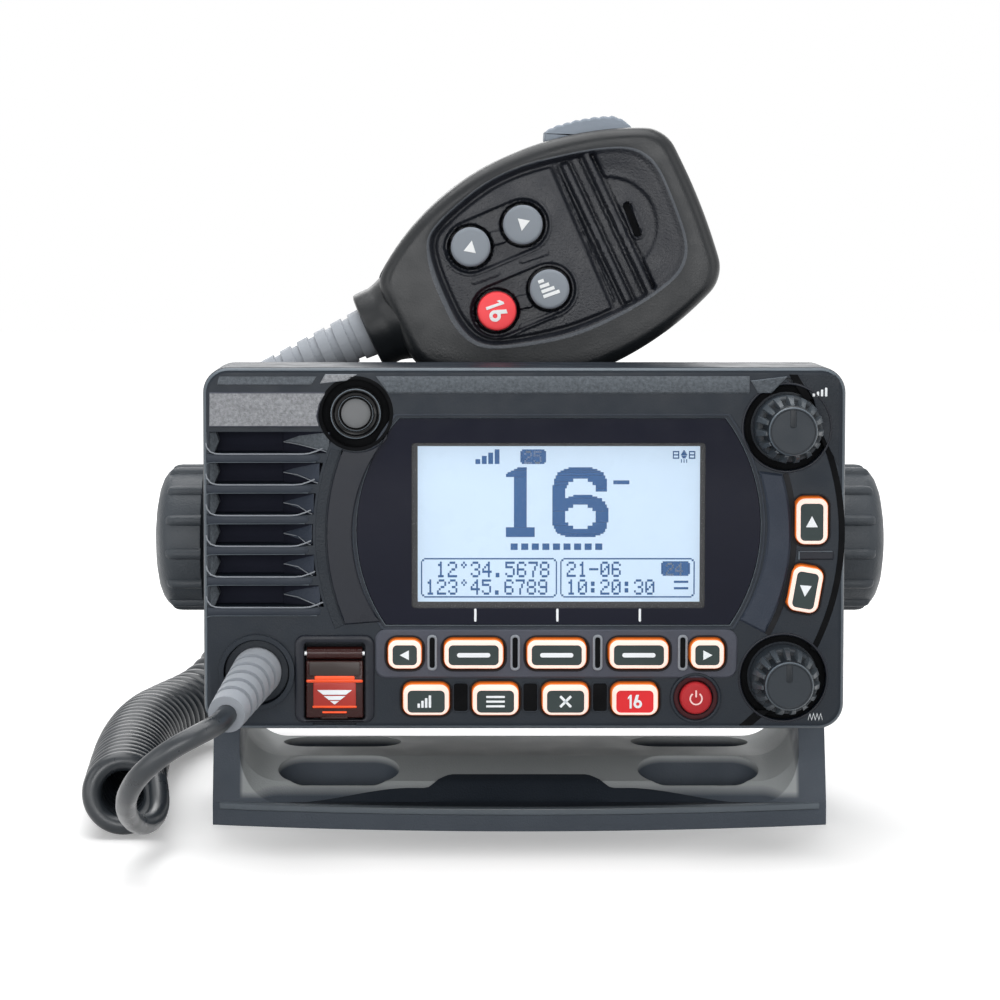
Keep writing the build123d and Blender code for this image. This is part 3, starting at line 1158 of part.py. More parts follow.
def mic_board():
    """Microphone circuit board on the front shell's screw posts, with the talk switch."""
    outline = mic_outline(MIC_WALL + 1.0)
    switch_at = (PTT_U[0] + SWITCH_SHIFT[0], PTT_INNER_V + SWITCH_SHIFT[1])
    outline -= Pos(*switch_at) * Rectangle(*SWITCH_ROOM)
    board = local_slab(outline, MIC_BOARD_FRONT - BOARD_THICK, MIC_BOARD_FRONT)
    for u, v in MIC_SCREWS:
        board -= local_slab(Pos(u, v) * Circle(2.9), 0, MIC_FRONT)
    board -= local_slab(Pos(*MIC_SLOT_AT) * Circle(CAPSULE_RADIUS + SLIP_GAP), 0, MIC_FRONT)
    for _, u, v in MIC_KEYS:
        dome = Pos(u, v) * Circle(DOME_RADIUS)
        board += local_slab(dome, MIC_BOARD_FRONT, MIC_FRONT - 2 * MIC_WALL - 2.0 - MIC_KEY_TRAVEL)
    return MIC_PLANE * board


def mic_capsule():
    """Electret capsule behind the sound slot."""
    high = MIC_FRONT - 2 * MIC_WALL - SEAT_GAP
    return MIC_PLANE * local_slab(Pos(*MIC_SLOT_AT) * Circle(CAPSULE_RADIUS), high - CAPSULE_THICK, high)


def mic_key(key):
    """Round key of the microphone, with a flange behind the shell."""
    _, u, v = key
    top = MIC_FRONT - MIC_PANEL_SUNK + MIC_KEY_PROUD
    back = MIC_FRONT - 2 * MIC_WALL - SEAT_GAP
    cap = local_slab(Pos(u, v) * Circle(MIC_KEY_RADIUS), back, top)
    cap = fillet(cap.edges().group_by(Axis.Z)[-1], KEY_ROUND)
    return MIC_PLANE * (cap + local_slab(Pos(u, v) * Circle(MIC_KEY_RADIUS + 0.9), back - 1.4, back))


def ptt_button():
    """Push-to-talk bar in the microphone's upper edge."""
    bar = local_slab(ptt_outline(), -PTT_HALF, PTT_HALF)
    return MIC_PLANE * bar


def mic_cord_boot():
    """Tapered, ribbed boot in the microphone's collar."""
    boot = tapered_boot(
        MIC_BOOT_LENGTH, MIC_BOOT_START_RADIUS, MIC_BOOT_TIP_RADIUS, BOOT_GROOVE_COUNT, BOOT_GROOVE_DEPTH
    )
    root = Cylinder(MIC_BOOT_START_RADIUS, MIC_BOOT_ROOT, align=(Align.CENTER, Align.CENTER, Align.MAX))
    return MIC_PLANE * Pos(COLLAR_END_U, 0, 0) * Rot(0, -90, 0) * (boot + root)


def hanger_stud():
    """Mushroom stud on the back that hangs the microphone on its clip."""
    neck = local_slab(Pos(*STUD_AT) * Circle(STUD_NECK), -MIC_BACK - STUD_LENGTH, -MIC_BACK - SEAT_GAP)
    head = local_slab(
        Pos(*STUD_AT) * Circle(STUD_RADIUS), -MIC_BACK - STUD_LENGTH, -MIC_BACK - STUD_LENGTH + STUD_HEAD_THICK
    )
    screw = local_slab(Pos(*STUD_AT) * Circle(MIC_SCREW_RADIUS), -MIC_BACK - 1, -MIC_BACK + MIC_WALL + 1)
    return MIC_PLANE * (neck + head + screw)


# ---------------------------------------------------------------- the whole part
def build():
    """Every node's solid, by node name."""
    parts = {
        "gimbal_bracket": gimbal_bracket(),
        "gimbal_washers": gimbal_washers(),
        "gimbal_inserts": gimbal_inserts(),
        "gimbal_knob_left": gimbal_knob(-1),
        "gimbal_knob_right": gimbal_knob(1),
        "gimbal_screw_left": gimbal_screw(-1),
        "gimbal_screw_right": gimbal_screw(1),
        "front_bezel": front_bezel(),
        "display_lens": display_lens(),
        "lcd_panel": lcd_panel(),
        "lcd_backlight": lcd_backlight(),
        "front_board": front_board(),
        "keypad_membrane": keypad_membrane(),
        "control_pots": control_pots(),
        "volume_shaft": control_shaft(VOLUME_AT),
        "volume_knob": control_knob(VOLUME_AT),
        "squelch_shaft": control_shaft(SQUELCH_AT),
        "squelch_knob": control_knob(SQUELCH_AT),
        "distress_cover": distress_cover(),
        "cover_hinge_pin": cover_hinge_pin(),
        "distress_button": distress_button(),
        "lamp_ring": lamp_ring(),
        "lamp_lens": lamp_lens(),
        "speaker": speaker(),
        "cord_gland": cord_gland(),
        "radio_cord_boot": radio_cord_boot(),
        "rear_chassis": rear_chassis(),
        "body_gasket": body_gasket(),
        "radio_screws": Compound(board_screws() + chassis_screws()),
        "main_board": main_board(),
        "power_amplifier": power_amplifier(),
        "antenna_socket": antenna_socket(),
        "rear_inlets": rear_inlets(),
        "mic_front_shell": mic_front_shell(),
        "mic_rear_shell": mic_rear_shell(),
        "mic_screws": mic_screws(),
        "mic_board": mic_board(),
        "mic_capsule": mic_capsule(),
        "ptt_button": ptt_button(),
        "mic_cord_boot": mic_cord_boot(),
        "hanger_stud": hanger_stud(),
        "cord_tail_radio": route_tube("cord_tail_radio", TAIL_RADIO_ROUTE, CORD_DIAMETER),
        "cord_coil": route_tube("cord_coil", COIL_ROUTE, COIL_DIAMETER),
        "cord_tail_mic": route_tube("cord_tail_mic", TAIL_MIC_ROUTE, CORD_DIAMETER),
    }
    for key in KEYS:
        parts[key[0]] = key_cap(lambda grow, shape=key: key_outline(shape, grow))
    parts["key_power"] = key_cap(power_outline)
    for key in MIC_KEYS:
        parts[key[0]] = mic_key(key)
    return parts


def main():
    """Write one STEP file for each node."""
    os.makedirs("parts", exist_ok=True)
    for name, shape in build().items():
        export_step(shape, os.path.join("parts", name + ".step"))


if __name__ == "__main__":
    main()
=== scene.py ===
"""A fixed-mount VHF marine radio in its gimbal bracket, with a palm microphone on a curly cord.

Metres, in the part's own frame: +X to the user's right, +Y away from the user, +Z up, and the
origin at the centre of the bracket's mounting face.
"""
import logging
import math
import re
from dataclasses import dataclass
from enum import Enum
from typing import Iterable, Optional, Sequence

import bmesh
import bpy
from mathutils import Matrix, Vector
from mathutils.geometry import tessellate_polygon


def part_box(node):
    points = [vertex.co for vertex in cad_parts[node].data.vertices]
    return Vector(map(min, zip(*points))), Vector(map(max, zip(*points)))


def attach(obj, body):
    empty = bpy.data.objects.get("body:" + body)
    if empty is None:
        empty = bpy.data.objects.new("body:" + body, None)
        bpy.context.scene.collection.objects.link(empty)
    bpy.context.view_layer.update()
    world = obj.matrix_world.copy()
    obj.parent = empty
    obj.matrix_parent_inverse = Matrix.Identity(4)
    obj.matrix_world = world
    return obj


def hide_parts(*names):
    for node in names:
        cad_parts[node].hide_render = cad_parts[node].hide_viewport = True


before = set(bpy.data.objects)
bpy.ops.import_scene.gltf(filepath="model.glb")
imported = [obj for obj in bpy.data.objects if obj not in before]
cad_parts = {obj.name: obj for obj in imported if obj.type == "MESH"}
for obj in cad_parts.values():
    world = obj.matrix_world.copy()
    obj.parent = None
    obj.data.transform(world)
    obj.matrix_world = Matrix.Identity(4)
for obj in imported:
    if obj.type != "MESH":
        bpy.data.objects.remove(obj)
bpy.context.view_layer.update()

LOG = logging.getLogger("radio")
MM = 0.001
FRONT_Y = -62.0
NOISE_SPAN = (0.3, 0.7)

Point = tuple[float, float, float]
Flat = tuple[float, float]
Tree = bpy.types.NodeTree
Socket = bpy.types.NodeSocket
EditMesh = bmesh.types.BMesh
Piece = bpy.types.Object


# ------------------------------------------------------------------ colour and nodes
def linear(code: str) -> tuple[float, float, float, float]:
    """Turn an sRGB hex colour into linear values.

    Args:
        code: a hash and six hex digits.

    Returns:
        Red, green, blue and a full alpha.
    """
    shares = [int(code[at:at + 2], 16) / 255 for at in (1, 3, 5)]
    red, green, blue = (s / 12.92 if s <= 0.04045 else ((s + 0.055) / 1.055) ** 2.4 for s in shares)
    return red, green, blue, 1.0


def add_node(tree: Tree, kind: str, settings: Optional[dict] = None,
             inputs: Optional[dict] = None) -> bpy.types.Node:
    """Add one node with its settings and its inputs.

    Args:
        tree: the tree to add to.
        kind: the node's type name.
        settings: attributes of the node.
        inputs: input name or index to a value, or to the socket that feeds it.

    Returns:
        The new node.
    """
    node = tree.nodes.new(kind)
    for name, value in (settings or {}).items():
        setattr(node, name, value)
    for key, value in (inputs or {}).items():
        if isinstance(value, Socket):
            tree.links.new(value, node.inputs[key])
        else:
            node.inputs[key].default_value = value
    return node


def per_metre(size_mm: float) -> float:
    """Texture scale whose features are this many millimetres wide."""
    return 1.0 / (size_mm * MM)


def worked_out(tree: Tree, operation: str, *values: float | Socket) -> Socket:
    """Result of one math node on numbers or sockets."""
    return add_node(tree, "ShaderNodeMath", {"operation": operation}, dict(enumerate(values))).outputs[0]


def ranged(tree: Tree, value: Socket, source: Flat, target: Flat = (0.0, 1.0)) -> Socket:
    """Carry a value from one range to another, held at both ends.

    Args:
        tree: the tree to add to.
        value: the socket to read.
        source: the two ends of the value's range.
        target: what they become.

    Returns:
        The carried value's socket.
    """
    ends = dict(zip(("From Min", "From Max", "To Min", "To Max"), (*source, *target)))
    return add_node(tree, "ShaderNodeMapRange", inputs={"Value": value, **ends}).outputs["Result"]


def drift(tree: Tree, where: Socket, size_mm: float, levels: Flat, detail: float,
          roughness: float = 0.5) -> Socket:
    """A level that drifts over the piece by a soft noise.

    Args:
        tree: the material's tree.
        where: coordinates to read.
        size_mm: width of the noise's features.
        levels: the lowest and the highest level.
        detail: octaves of the noise.
        roughness: strength of each further octave.

    Returns:
        The level's socket.
    """
    noise = add_node(tree, "ShaderNodeTexNoise", inputs={
        "Vector": where, "Scale": per_metre(size_mm), "Detail": detail, "Roughness": roughness})
    return ranged(tree, noise.outputs["Fac"], NOISE_SPAN, levels)


# ------------------------------------------------------------------ finishes
@dataclass(frozen=True)
class Finish:
    """A surface: its colour, gloss and the grain that its making leaves.

    The grain is a noise that also varies the gloss, and the mottle is a slow drift of the colour.
    """

    name: str
    slot: str
    colour: str
    roughness: float = 0.5
    metallic: float = 0.0
    specular: float = 0.22
    grain_mm: float = 0.35
    grain_depth_mm: float = 0.02
    mottle: float = 0.06
    mottle_mm: float = 18.0
    gloss_drift: float = 0.08
    edge_mm: float = 0.25
    sheen: float = 0.0
    glow: float = 0.0
    alpha: float = 1.0

    def material(self) -> bpy.types.Material:
        """The finish's material, made at its first use.

        Returns:
            The shared material.
        """
        known = bpy.data.materials.get(self.name)
        if known is not None:
            return known
        made = bpy.data.materials.new(self.name)
        made.use_nodes = True
        tree = made.node_tree
        tree.nodes.clear()
        output = add_node(tree, "ShaderNodeOutputMaterial")
        shader = add_node(tree, "ShaderNodeBsdfPrincipled", inputs={
            "Metallic": self.metallic,
            "Specular IOR Level": self.specular,
            "Sheen Weight": self.sheen,
            "Alpha": self.alpha,
        })
        tree.links.new(shader.outputs["BSDF"], output.inputs["Surface"])
        where = add_node(tree, "ShaderNodeTexCoord").outputs["Object"]
        colour = self.paint(tree, where)
        tree.links.new(colour, shader.inputs["Base Color"])
        if self.glow:
            tree.links.new(colour, shader.inputs["Emission Color"])
            shader.inputs["Emission Strength"].default_value = self.glow
        tree.links.new(self.gloss(tree, where), shader.inputs["Roughness"])
        tree.links.new(self.relief(tree, where), shader.inputs["Normal"])
        return made

    def paint(self, tree: Tree, where: Socket) -> Socket:
        """Colour that drifts a little lighter and darker over the piece.

        Args:
            tree: the material's tree.
            where: coordinates to read.

        Returns:
            The colour socket.
        """
        level = drift(tree, where, self.mottle_mm, (1.0 - self.mottle, 1.0 + self.mottle), 3.0, 0.6)
        tint = add_node(tree, "ShaderNodeHueSaturation", inputs={
            "Value": level, "Color": linear(self.colour)})
        return tint.outputs["Color"]

    def gloss(self, tree: Tree, where: Socket) -> Socket:
        """Roughness that varies with handling.

        Args:
            tree: the material's tree.
            where: coordinates to read.

        Returns:
            The roughness socket.
        """
        levels = (max(self.roughness - self.gloss_drift, 0.03), min(self.roughness + self.gloss_drift, 1.0))
        return drift(tree, where, self.mottle_mm / 3, levels, 4.0)

    def relief(self, tree: Tree, where: Socket) -> Socket:
        """Fine grain over softly rounded edges.

        Args:
            tree: the material's tree.
            where: coordinates to read.

        Returns:
            The normal socket.
        """
        noise = add_node(tree, "ShaderNodeTexNoise", inputs={
            "Vector": where, "Scale": per_metre(self.grain_mm), "Detail": 2.0, "Roughness": 0.55})
        edge = add_node(tree, "ShaderNodeBevel", {"samples": 4}, {"Radius": self.edge_mm * MM})
        bump = add_node(tree, "ShaderNodeBump", inputs={
            "Height": noise.outputs["Fac"], "Distance": self.grain_depth_mm * MM,
            "Normal": edge.outputs["Normal"]})
        return bump.outputs["Normal"]


@dataclass(frozen=True)
class PaintedLightBedFinish(Finish):
    """A moulding whose raised bed, between its two arms, is painted paler than its rim: painted light where
    the bed faces up.
    """

    bed: str = "#A4A8A9"
    half_mm: float = 69.2
    fade_mm: float = 0.5
    fade_below_mm: float = 1.2
    fade_above_mm: float = 0.4
    fall: float = 0.312
    front_level_mm: float = 14.45
    top_level_mm: float = 13.2

    def paint(self, tree: Tree, where: Socket) -> Socket:
        """Plain colour on the rim and a paler one on the bed, as painted light.

        Args:
            tree: the material's tree.
            where: coordinates to read.

        Returns:
            The colour socket.
        """
        plain = super().paint(tree, where)
        place = add_node(tree, "ShaderNodeSeparateXYZ", inputs={"Vector": where}).outputs
        away = worked_out(tree, "ABSOLUTE", place["X"])
        inside = ranged(tree, away, ((self.half_mm + self.fade_mm) * MM, (self.half_mm - self.fade_mm) * MM))
        slope = worked_out(tree, "MULTIPLY_ADD", place["Y"], self.fall, self.front_level_mm * MM)
        level = worked_out(tree, "MINIMUM", slope, self.top_level_mm * MM)
        over = worked_out(tree, "SUBTRACT", place["Z"], level)
        above = ranged(tree, over, (-self.fade_below_mm * MM, self.fade_above_mm * MM))
        share = worked_out(tree, "MULTIPLY", inside, above)
        # painted light: the paler colour fills the bed between the arms, above the slope
        colours = {0: share, 6: plain, 7: linear(self.bed)}
        return add_node(tree, "ShaderNodeMix", {"data_type": "RGBA"}, colours).outputs[2]


@dataclass(frozen=True)
class BrushedFinish(Finish):
    """A metal whose marks run one way, as turning or brushing leaves them."""

    stretch: Point = (1.0, 1.0, 12.0)

    def relief(self, tree: Tree, where: Socket) -> Socket:
        """Marks drawn out along one axis.

        Args:
            tree: the material's tree.
            where: coordinates to read.

        Returns:
            The normal socket.
        """
        drawn = add_node(tree, "ShaderNodeMapping", inputs={"Vector": where, "Scale": self.stretch})
        return super().relief(tree, drawn.outputs["Vector"])


class Kit(Enum):
    """The finishes of this radio."""

    # ABS, moulded in a lightly etched tool: near black, with a soft satin light on its edges
    HOUSING = Finish("moulded_abs_charcoal", "black_plastic", "#151D26", 0.42, grain_mm=0.45,
                     grain_depth_mm=0.035)
    # the same plastic from coarser etched parts of the tool, which scatter more light and read greyer
    ETCHED = Finish("etched_abs_charcoal", "black_plastic", "#4A4D57", 0.6, grain_mm=0.6, grain_depth_mm=0.09)
    ETCHED_FINE = Finish("fine_etched_abs", "black_plastic", "#2B313A", grain_mm=0.5, grain_depth_mm=0.05)
    ETCHED_SLATE = Finish("slate_etched_abs", "black_plastic", "#2D3440", grain_mm=0.5, grain_depth_mm=0.1)
    ETCHED_DARK = Finish("dark_etched_abs", "black_plastic", "#1B2128", grain_mm=0.55, grain_depth_mm=0.14)
    # pads that lean towards the light, with the coarsest spark marks, painted pale as painted light on their
    # up-facing slopes
    ETCHED_PALE = Finish("pale_etched_abs_painted_light", "black_plastic", "#8B8D91", 0.6, grain_mm=0.42,
                         grain_depth_mm=0.3, mottle=0.3, mottle_mm=0.75)
    ETCHED_MID = Finish("mid_etched_abs_painted_light", "black_plastic", "#555B61", 0.55, grain_mm=0.42,
                        grain_depth_mm=0.24, mottle=0.3, mottle_mm=0.75)
    # the same plastic off a polished part of the tool: darker, with crisp edge lights
    SMOOTH = Finish("satin_abs_charcoal", "black_plastic", "#161A23", 0.32, grain_depth_mm=0.008)
    # painted highlight: a soft blue-grey line of light on rounded outer edges
    EDGE = Finish("rounded_abs_painted_highlight", "black_plastic", "#5C656D", 0.35, grain_depth_mm=0.01)
    # painted highlight: pale lines of light on polished narrow edges
    SHARP = Finish("polished_abs_painted_highlight", "black_plastic", "#8A8F96", 0.3, grain_depth_mm=0.006)
    # painted shade for unlit hollows and grooves: black with almost no sheen
    DEEP = Finish("painted_shade_abs_black", "black_plastic", "#050608", 0.8, specular=0.1)
    WELL = Finish("painted_shade_abs_groove", "black_plastic", "#0B0C10", 0.6, specular=0.2)
    # painted shade behind the louvres, where the slots fall dark: matt navy black
    CLOTH = Finish("louvre_painted_shade", "black_plastic", "#22242E", 0.9, specular=0.05)
    # glass-filled nylon: slate grey with a fine spark-eroded texture, its raised bed painted paler as painted
    # light
    BRACKET = PaintedLightBedFinish("etched_nylon_slate_painted_light_bed", "bracket_plastic", "#4A515A", 0.55, grain_mm=0.5,
                        grain_depth_mm=0.1)
    # painted shade laid over the bracket's sunk shelf
    BRACKET_DARK = Finish("etched_nylon_painted_shade", "bracket_plastic", "#262C34", 0.6, grain_mm=0.55,
                          grain_depth_mm=0.12)
    # painted highlight: a pale bead along the lip's front edge
    BRACKET_EDGE = Finish("rounded_nylon_painted_highlight", "bracket_plastic", "#626A71", 0.45, grain_mm=0.5,
                          grain_depth_mm=0.1)
    # powder coat on die-cast aluminium: black orange-peel
    CASTING = Finish("powder_coat_black", "cast_case", "#16181A", grain_mm=0.8, grain_depth_mm=0.06)
    # hard-coated acrylic, painted blue-black behind: a deep, wet black
    WINDOW = Finish("painted_acrylic_black", "window", "#101323", 0.1, specular=0.12, grain_depth_mm=0.0,
                    gloss_drift=0.02, edge_mm=0.15)
    # uncoated acrylic over the panel: only its gloss shows
    CLEAR = Finish("clear_acrylic", "window", "#FFFFFF", 0.05, specular=0.2, grain_depth_mm=0.0, alpha=0.03)
    # polypropylene knobs: satin, a touch cooler than the housing
    KNOB = Finish("moulded_knob_black", "knob_plastic", "#2A3036", 0.4, grain_mm=0.4)
    KNOB_EDGE = Finish("moulded_knob_pointer", "knob_plastic", "#1C2126", 0.35, grain_depth_mm=0.01)
    # painted highlight: teeth painted paler for the light they catch
    KNOB_TOOTH = Finish("moulded_knob_tooth_painted_highlight", "knob_plastic", "#42494F", 0.35, specular=0.4)
    KNOB_ETCHED = Finish("etched_knob_nylon", "knob_plastic", "#33393F", 0.45, specular=0.35, grain_mm=0.55,
                         grain_depth_mm=0.12)
    # thermoplastic rubber of the cord boots: warm mid grey, dry
    BOOT = Finish("moulded_rubber_grey", "boot_grey", "#979CA3", 0.55, sheen=0.1)
    # polyurethane cord jacket: dark, with a long satin highlight
    JACKET = Finish("polyurethane_jacket", "cord_jacket", "#262B30", 0.32, specular=0.5, grain_mm=0.7,
                    grain_depth_mm=0.012, mottle=0.04)
    RUBBER = Finish("matt_rubber_black", "black_rubber", "#131416", 0.72)
    # silicone keys, painted and laser marked: a green-grey face, lit amber skirt and pale rim
    KEY = Finish("painted_silicone_grey", "key_rubber", "#353F3F", 0.6)
    GLOW = Finish("lit_silicone_amber", "key_rubber", "#E8732A", glow=0.35)
    RIM = Finish("lit_silicone_rim", "key_rubber", "#F7DCD0", 0.45, glow=0.35)
    # white marks with a faint glow: the keys' backlight on their signs, and painted light on the marks
    # printed on the housing and the cover
    LEGEND = Finish("white_marking_paint", "white_plastic", "#E9EDF0", glow=0.15)
    KEY_RED = Finish("painted_silicone_red", "key_red", "#DC2A30", 0.45, glow=0.12)
    POWER_KEY = Finish("moulded_silicone_red", "key_red", "#B5282E")
    POWER_SIGN = Finish("pale_marking_paint", "key_red", "#F0C9C6", glow=0.2)
    # painted shade: a dark red bed round the power key
    POWER_HALO = Finish("red_silicone_painted_shade", "key_red", "#3A0F14", 0.6)
    KEY_GREY = Finish("silicone_key_grey", "key_grey", "#62686F")
    # the microphone's own moulding: a warmer black shoulder round a coarsely etched, sparkling panel
    GRIP = Finish("moulded_abs_black", "black_plastic", "#15181B", 0.36, specular=0.35, grain_mm=0.5,
                  grain_depth_mm=0.03)
    GRIP_PANEL = Finish("coarse_etched_abs", "black_plastic", "#161920", 0.42, specular=0.4, grain_mm=0.55,
                        grain_depth_mm=0.2)
    # painted highlight: a pale line along the microphone's lip
    GRIP_LIP = Finish("etched_abs_lip_painted_highlight", "black_plastic", "#3C4148", 0.4, specular=0.4, grain_mm=0.5,
                      grain_depth_mm=0.15)
    # silicone keys of the microphone, painted, with printed signs
    MIC_GREY = Finish("painted_silicone_slate", "key_grey", "#868D95")
    MIC_GREY_SIDE = Finish("painted_silicone_slate_side", "key_grey", "#8F96A0", 0.45)
    # the red face has a faint painted glow, as painted light
    MIC_RED = Finish("painted_silicone_scarlet", "key_red", "#F04A50", 0.45, glow=0.1)
    MIC_RED_SIDE = Finish("painted_silicone_scarlet_side", "key_red", "#C22B33", 0.45)
    MIC_SIGN = Finish("white_printing_ink", "white_plastic", "#F1F3F4")
    # thermoplastic rubber over the talk key: pale blue-grey
    TALK = Finish("moulded_rubber_blue_grey", "key_grey", "#858E99", grain_mm=0.4, grain_depth_mm=0.04)
    # bare and plated metal, turned
    STEEL = BrushedFinish("turned_steel", "steel", "#B9BCBE", 0.28, 1.0, grain_mm=0.3, grain_depth_mm=0.01)
    NICKEL = BrushedFinish("nickel_plate", "nickel", "#C9C4B8", 0.18, 1.0, grain_mm=0.3, grain_depth_mm=0.006)
    BRASS = BrushedFinish("turned_brass", "brass", "#C79A4B", 0.3, 1.0, grain_mm=0.3, grain_depth_mm=0.01)
    # glass fibre board under its green lacquer, and the light guide over it
    BOARD = Finish("solder_mask_green", "circuit_board", "#1D5A3A", 0.35)
    WHITE = Finish("white_diffuser", "white_plastic", "#EDEDE9")
    # twisted-nematic glass over a white backlight, its black mask and its blue segments
    DISPLAY = Finish("lit_liquid_crystal", "display", "#BFD4E8", 0.3, specular=0.2, grain_depth_mm=0.0,
                     mottle=0.015, glow=0.32)
    LENS_SHADE = Finish("display_mask_black", "display", "#101218")
    INK = Finish("liquid_crystal_blue", "display", "#00477C", 0.35, grain_depth_mm=0.0, glow=0.35)
    # polycarbonate cover, clear red over dark and pale printing
    COVER = Finish("clear_red_polycarbonate", "clear_red", "#3A1A18", 0.12, grain_depth_mm=0.0, alpha=0.9)
    COVER_DARK = Finish("red_polycarbonate_shade", "clear_red", "#3B3230", 0.2, grain_depth_mm=0.0)
    COVER_LIT = Finish("red_polycarbonate_lit", "clear_red", "#F0562C", 0.2, grain_depth_mm=0.0, glow=0.35)
    COVER_FIELD = Finish("red_polycarbonate_field", "clear_red", "#A8342C", 0.25, grain_depth_mm=0.0,
                         glow=0.12)
    COVER_EDGE = Finish("red_polycarbonate_edge", "clear_red", "#2A1412", 0.15, grain_depth_mm=0.0)
    # the status lamp: a polished ring round a smoked lens
    LAMP_RING = Finish("gloss_abs_black", "lamp_gloss", "#0A0B0D", 0.12, grain_depth_mm=0.0)
    LAMP_LENS = Finish("smoked_diffuser", "lamp_grey", "#6E7072", 0.45, grain_depth_mm=0.004)


CAD_FINISHES: dict[Kit, tuple[str, ...]] = {
    Kit.HOUSING: ("front_bezel", "mic_front_shell", "mic_rear_shell", "cord_gland", "power_amplifier"),
    Kit.BRACKET: ("gimbal_bracket",),
    Kit.CASTING: ("rear_chassis",),
    Kit.WINDOW: ("display_lens",),
    Kit.KNOB: ("gimbal_knob_left", "gimbal_knob_right", "volume_knob", "squelch_knob"),
    Kit.BOOT: ("radio_cord_boot", "mic_cord_boot"),
    Kit.RUBBER: ("body_gasket", "gimbal_washers", "rear_inlets"),
    Kit.KEY: ("key_left", "key_soft_left", "key_soft_middle", "key_soft_right", "key_right",
              "key_output_power", "key_menu", "key_clear", "key_up", "key_down"),
    Kit.KEY_RED: ("key_calling_channel", "key_power", "distress_button", "mic_key_calling_channel"),
    Kit.KEY_GREY: ("keypad_membrane", "ptt_button", "mic_key_down", "mic_key_up", "mic_key_output_power"),
    Kit.STEEL: ("gimbal_screw_left", "gimbal_screw_right", "control_pots", "volume_shaft", "squelch_shaft",
                "cover_hinge_pin", "speaker", "radio_screws", "mic_screws", "mic_capsule", "hanger_stud"),
    Kit.NICKEL: ("antenna_socket",),
    Kit.BRASS: ("gimbal_inserts",),
    Kit.BOARD: ("front_board", "main_board", "mic_board"),
    Kit.WHITE: ("lcd_backlight",),
    Kit.DISPLAY: ("lcd_panel",),
    Kit.COVER: ("distress_cover",),
    Kit.LAMP_RING: ("lamp_ring",),
    Kit.LAMP_LENS: ("lamp_lens",),
}


# ------------------------------------------------------------------ pieces
def new_object(name: str, data: bpy.types.ID) -> Piece:
    """Link a mesh, a curve, a lamp or a camera to the scene, at the origin.

    Args:
        name: the object's name.
        data: what it shows.

    Returns:
        The new object.
    """
    made = bpy.data.objects.new(name, data)
    bpy.context.scene.collection.objects.link(made)
    return made


def dress(piece: Piece, *finishes: Kit) -> Piece:
    """Give a piece its finishes, in the order of its material slots.

    Args:
        piece: a mesh or a curve.
        finishes: the finishes, the main one first.

    Returns:
        The same piece.
    """
    slots = piece.data.materials
    for at, finish in enumerate(finishes):
        if at < len(slots):
            slots[at] = finish.value.material()
        else:
            slots.append(finish.value.material())
    return piece


def placed(name: str, mesh: bpy.types.Mesh, finishes: Sequence[Kit], body: str, nodes: Sequence[str] = (),
           smooth_deg: float = 32.0) -> Piece:
    """Shade a mesh, dress it and put it on its body.

    Args:
        name: the piece's name.
        mesh: its mesh.
        finishes: its finishes, in the order of its material slots.
        body: the body that it rides on.
        nodes: nodes that it stands for.
        smooth_deg: edges flatter than this are shaded smooth.

    Returns:
        The finished piece.
    """
    mesh.polygons.foreach_set("use_smooth", [True] * len(mesh.polygons))
    mesh.set_sharp_from_angle(angle=math.radians(smooth_deg))
    piece = dress(new_object(name, mesh), *finishes)
    if nodes:
        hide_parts(*nodes)
    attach(piece, body)
    LOG.info("%s rides on %s", name, body)
    return piece


# ------------------------------------------------------------------ mesh helpers
@dataclass(frozen=True)
class Facing:
    """A flat face that pieces are laid out on: across, up and out of it, in millimetres."""

    origin: Point
    lean_deg: float = 0.0

    def spot(self, across: float, up: float, out: float) -> Vector:
        """Find a point that is given on this face.

        Args:
            across: to the right along it.
            up: upwards along it.
            out: away from it, towards the user.

        Returns:
            The point in metres.
        """
        lean = math.radians(self.lean_deg)
        return Vector((
            self.origin[0] + across * math.cos(lean) - up * math.sin(lean),
            self.origin[1] - out,
            self.origin[2] + across * math.sin(lean) + up * math.cos(lean),
        )) * MM


Ring = list[bmesh.types.BMVert]
RADIO_FACE = Facing((0.0, FRONT_Y, 0.0))
MIC_FACE = Facing((6.5, -12.0, 142.6), 24.7)
BEAD_SECTION = ((-1, -0.3), (-1, 0.0), (-0.5, 0.1), (0.5, 0.1), (1, 0.0), (1, -0.3))


def turned(points: Iterable[Flat], middle: Flat, degrees: float) -> list[Flat]:
    """Turn an outline about a point.

    Args:
        points: the outline.
        middle: the point.
        degrees: the turn, anticlockwise as seen from the front.

    Returns:
        The turned outline.
    """
    angle = math.radians(degrees)
    return [(
        middle[0] + (u - middle[0]) * math.cos(angle) - (v - middle[1]) * math.sin(angle),
        middle[1] + (u - middle[0]) * math.sin(angle) + (v - middle[1]) * math.cos(angle),
    ) for u, v in points]


def rounded_box(middle: Flat, width: float, height: float, radius: float, lean: float = 0.0,
                steps: int = 6) -> list[Flat]:
    """Outline of a rectangle with rounded corners.

    Args:
        middle: its centre.
        width: full width.
        height: full height.
        radius: corner radius.
        lean: turn in degrees.
        steps: segments in each corner.

    Returns:
        Points in anticlockwise order, as many for any size.
    """
    radius = max(min(radius, width / 2 - 1e-3, height / 2 - 1e-3), 1e-3)
    corners = ((1, 1, 0), (-1, 1, 90), (-1, -1, 180), (1, -1, 270))
    found: list[Flat] = []
    for side, rise, start in corners:
        centre = (middle[0] + side * (width / 2 - radius), middle[1] + rise * (height / 2 - radius))
        for step in range(steps + 1):
            angle = math.radians(start + 90.0 * step / steps)
            found.append((centre[0] + radius * math.cos(angle), centre[1] + radius * math.sin(angle)))
    return turned(found, middle, lean)


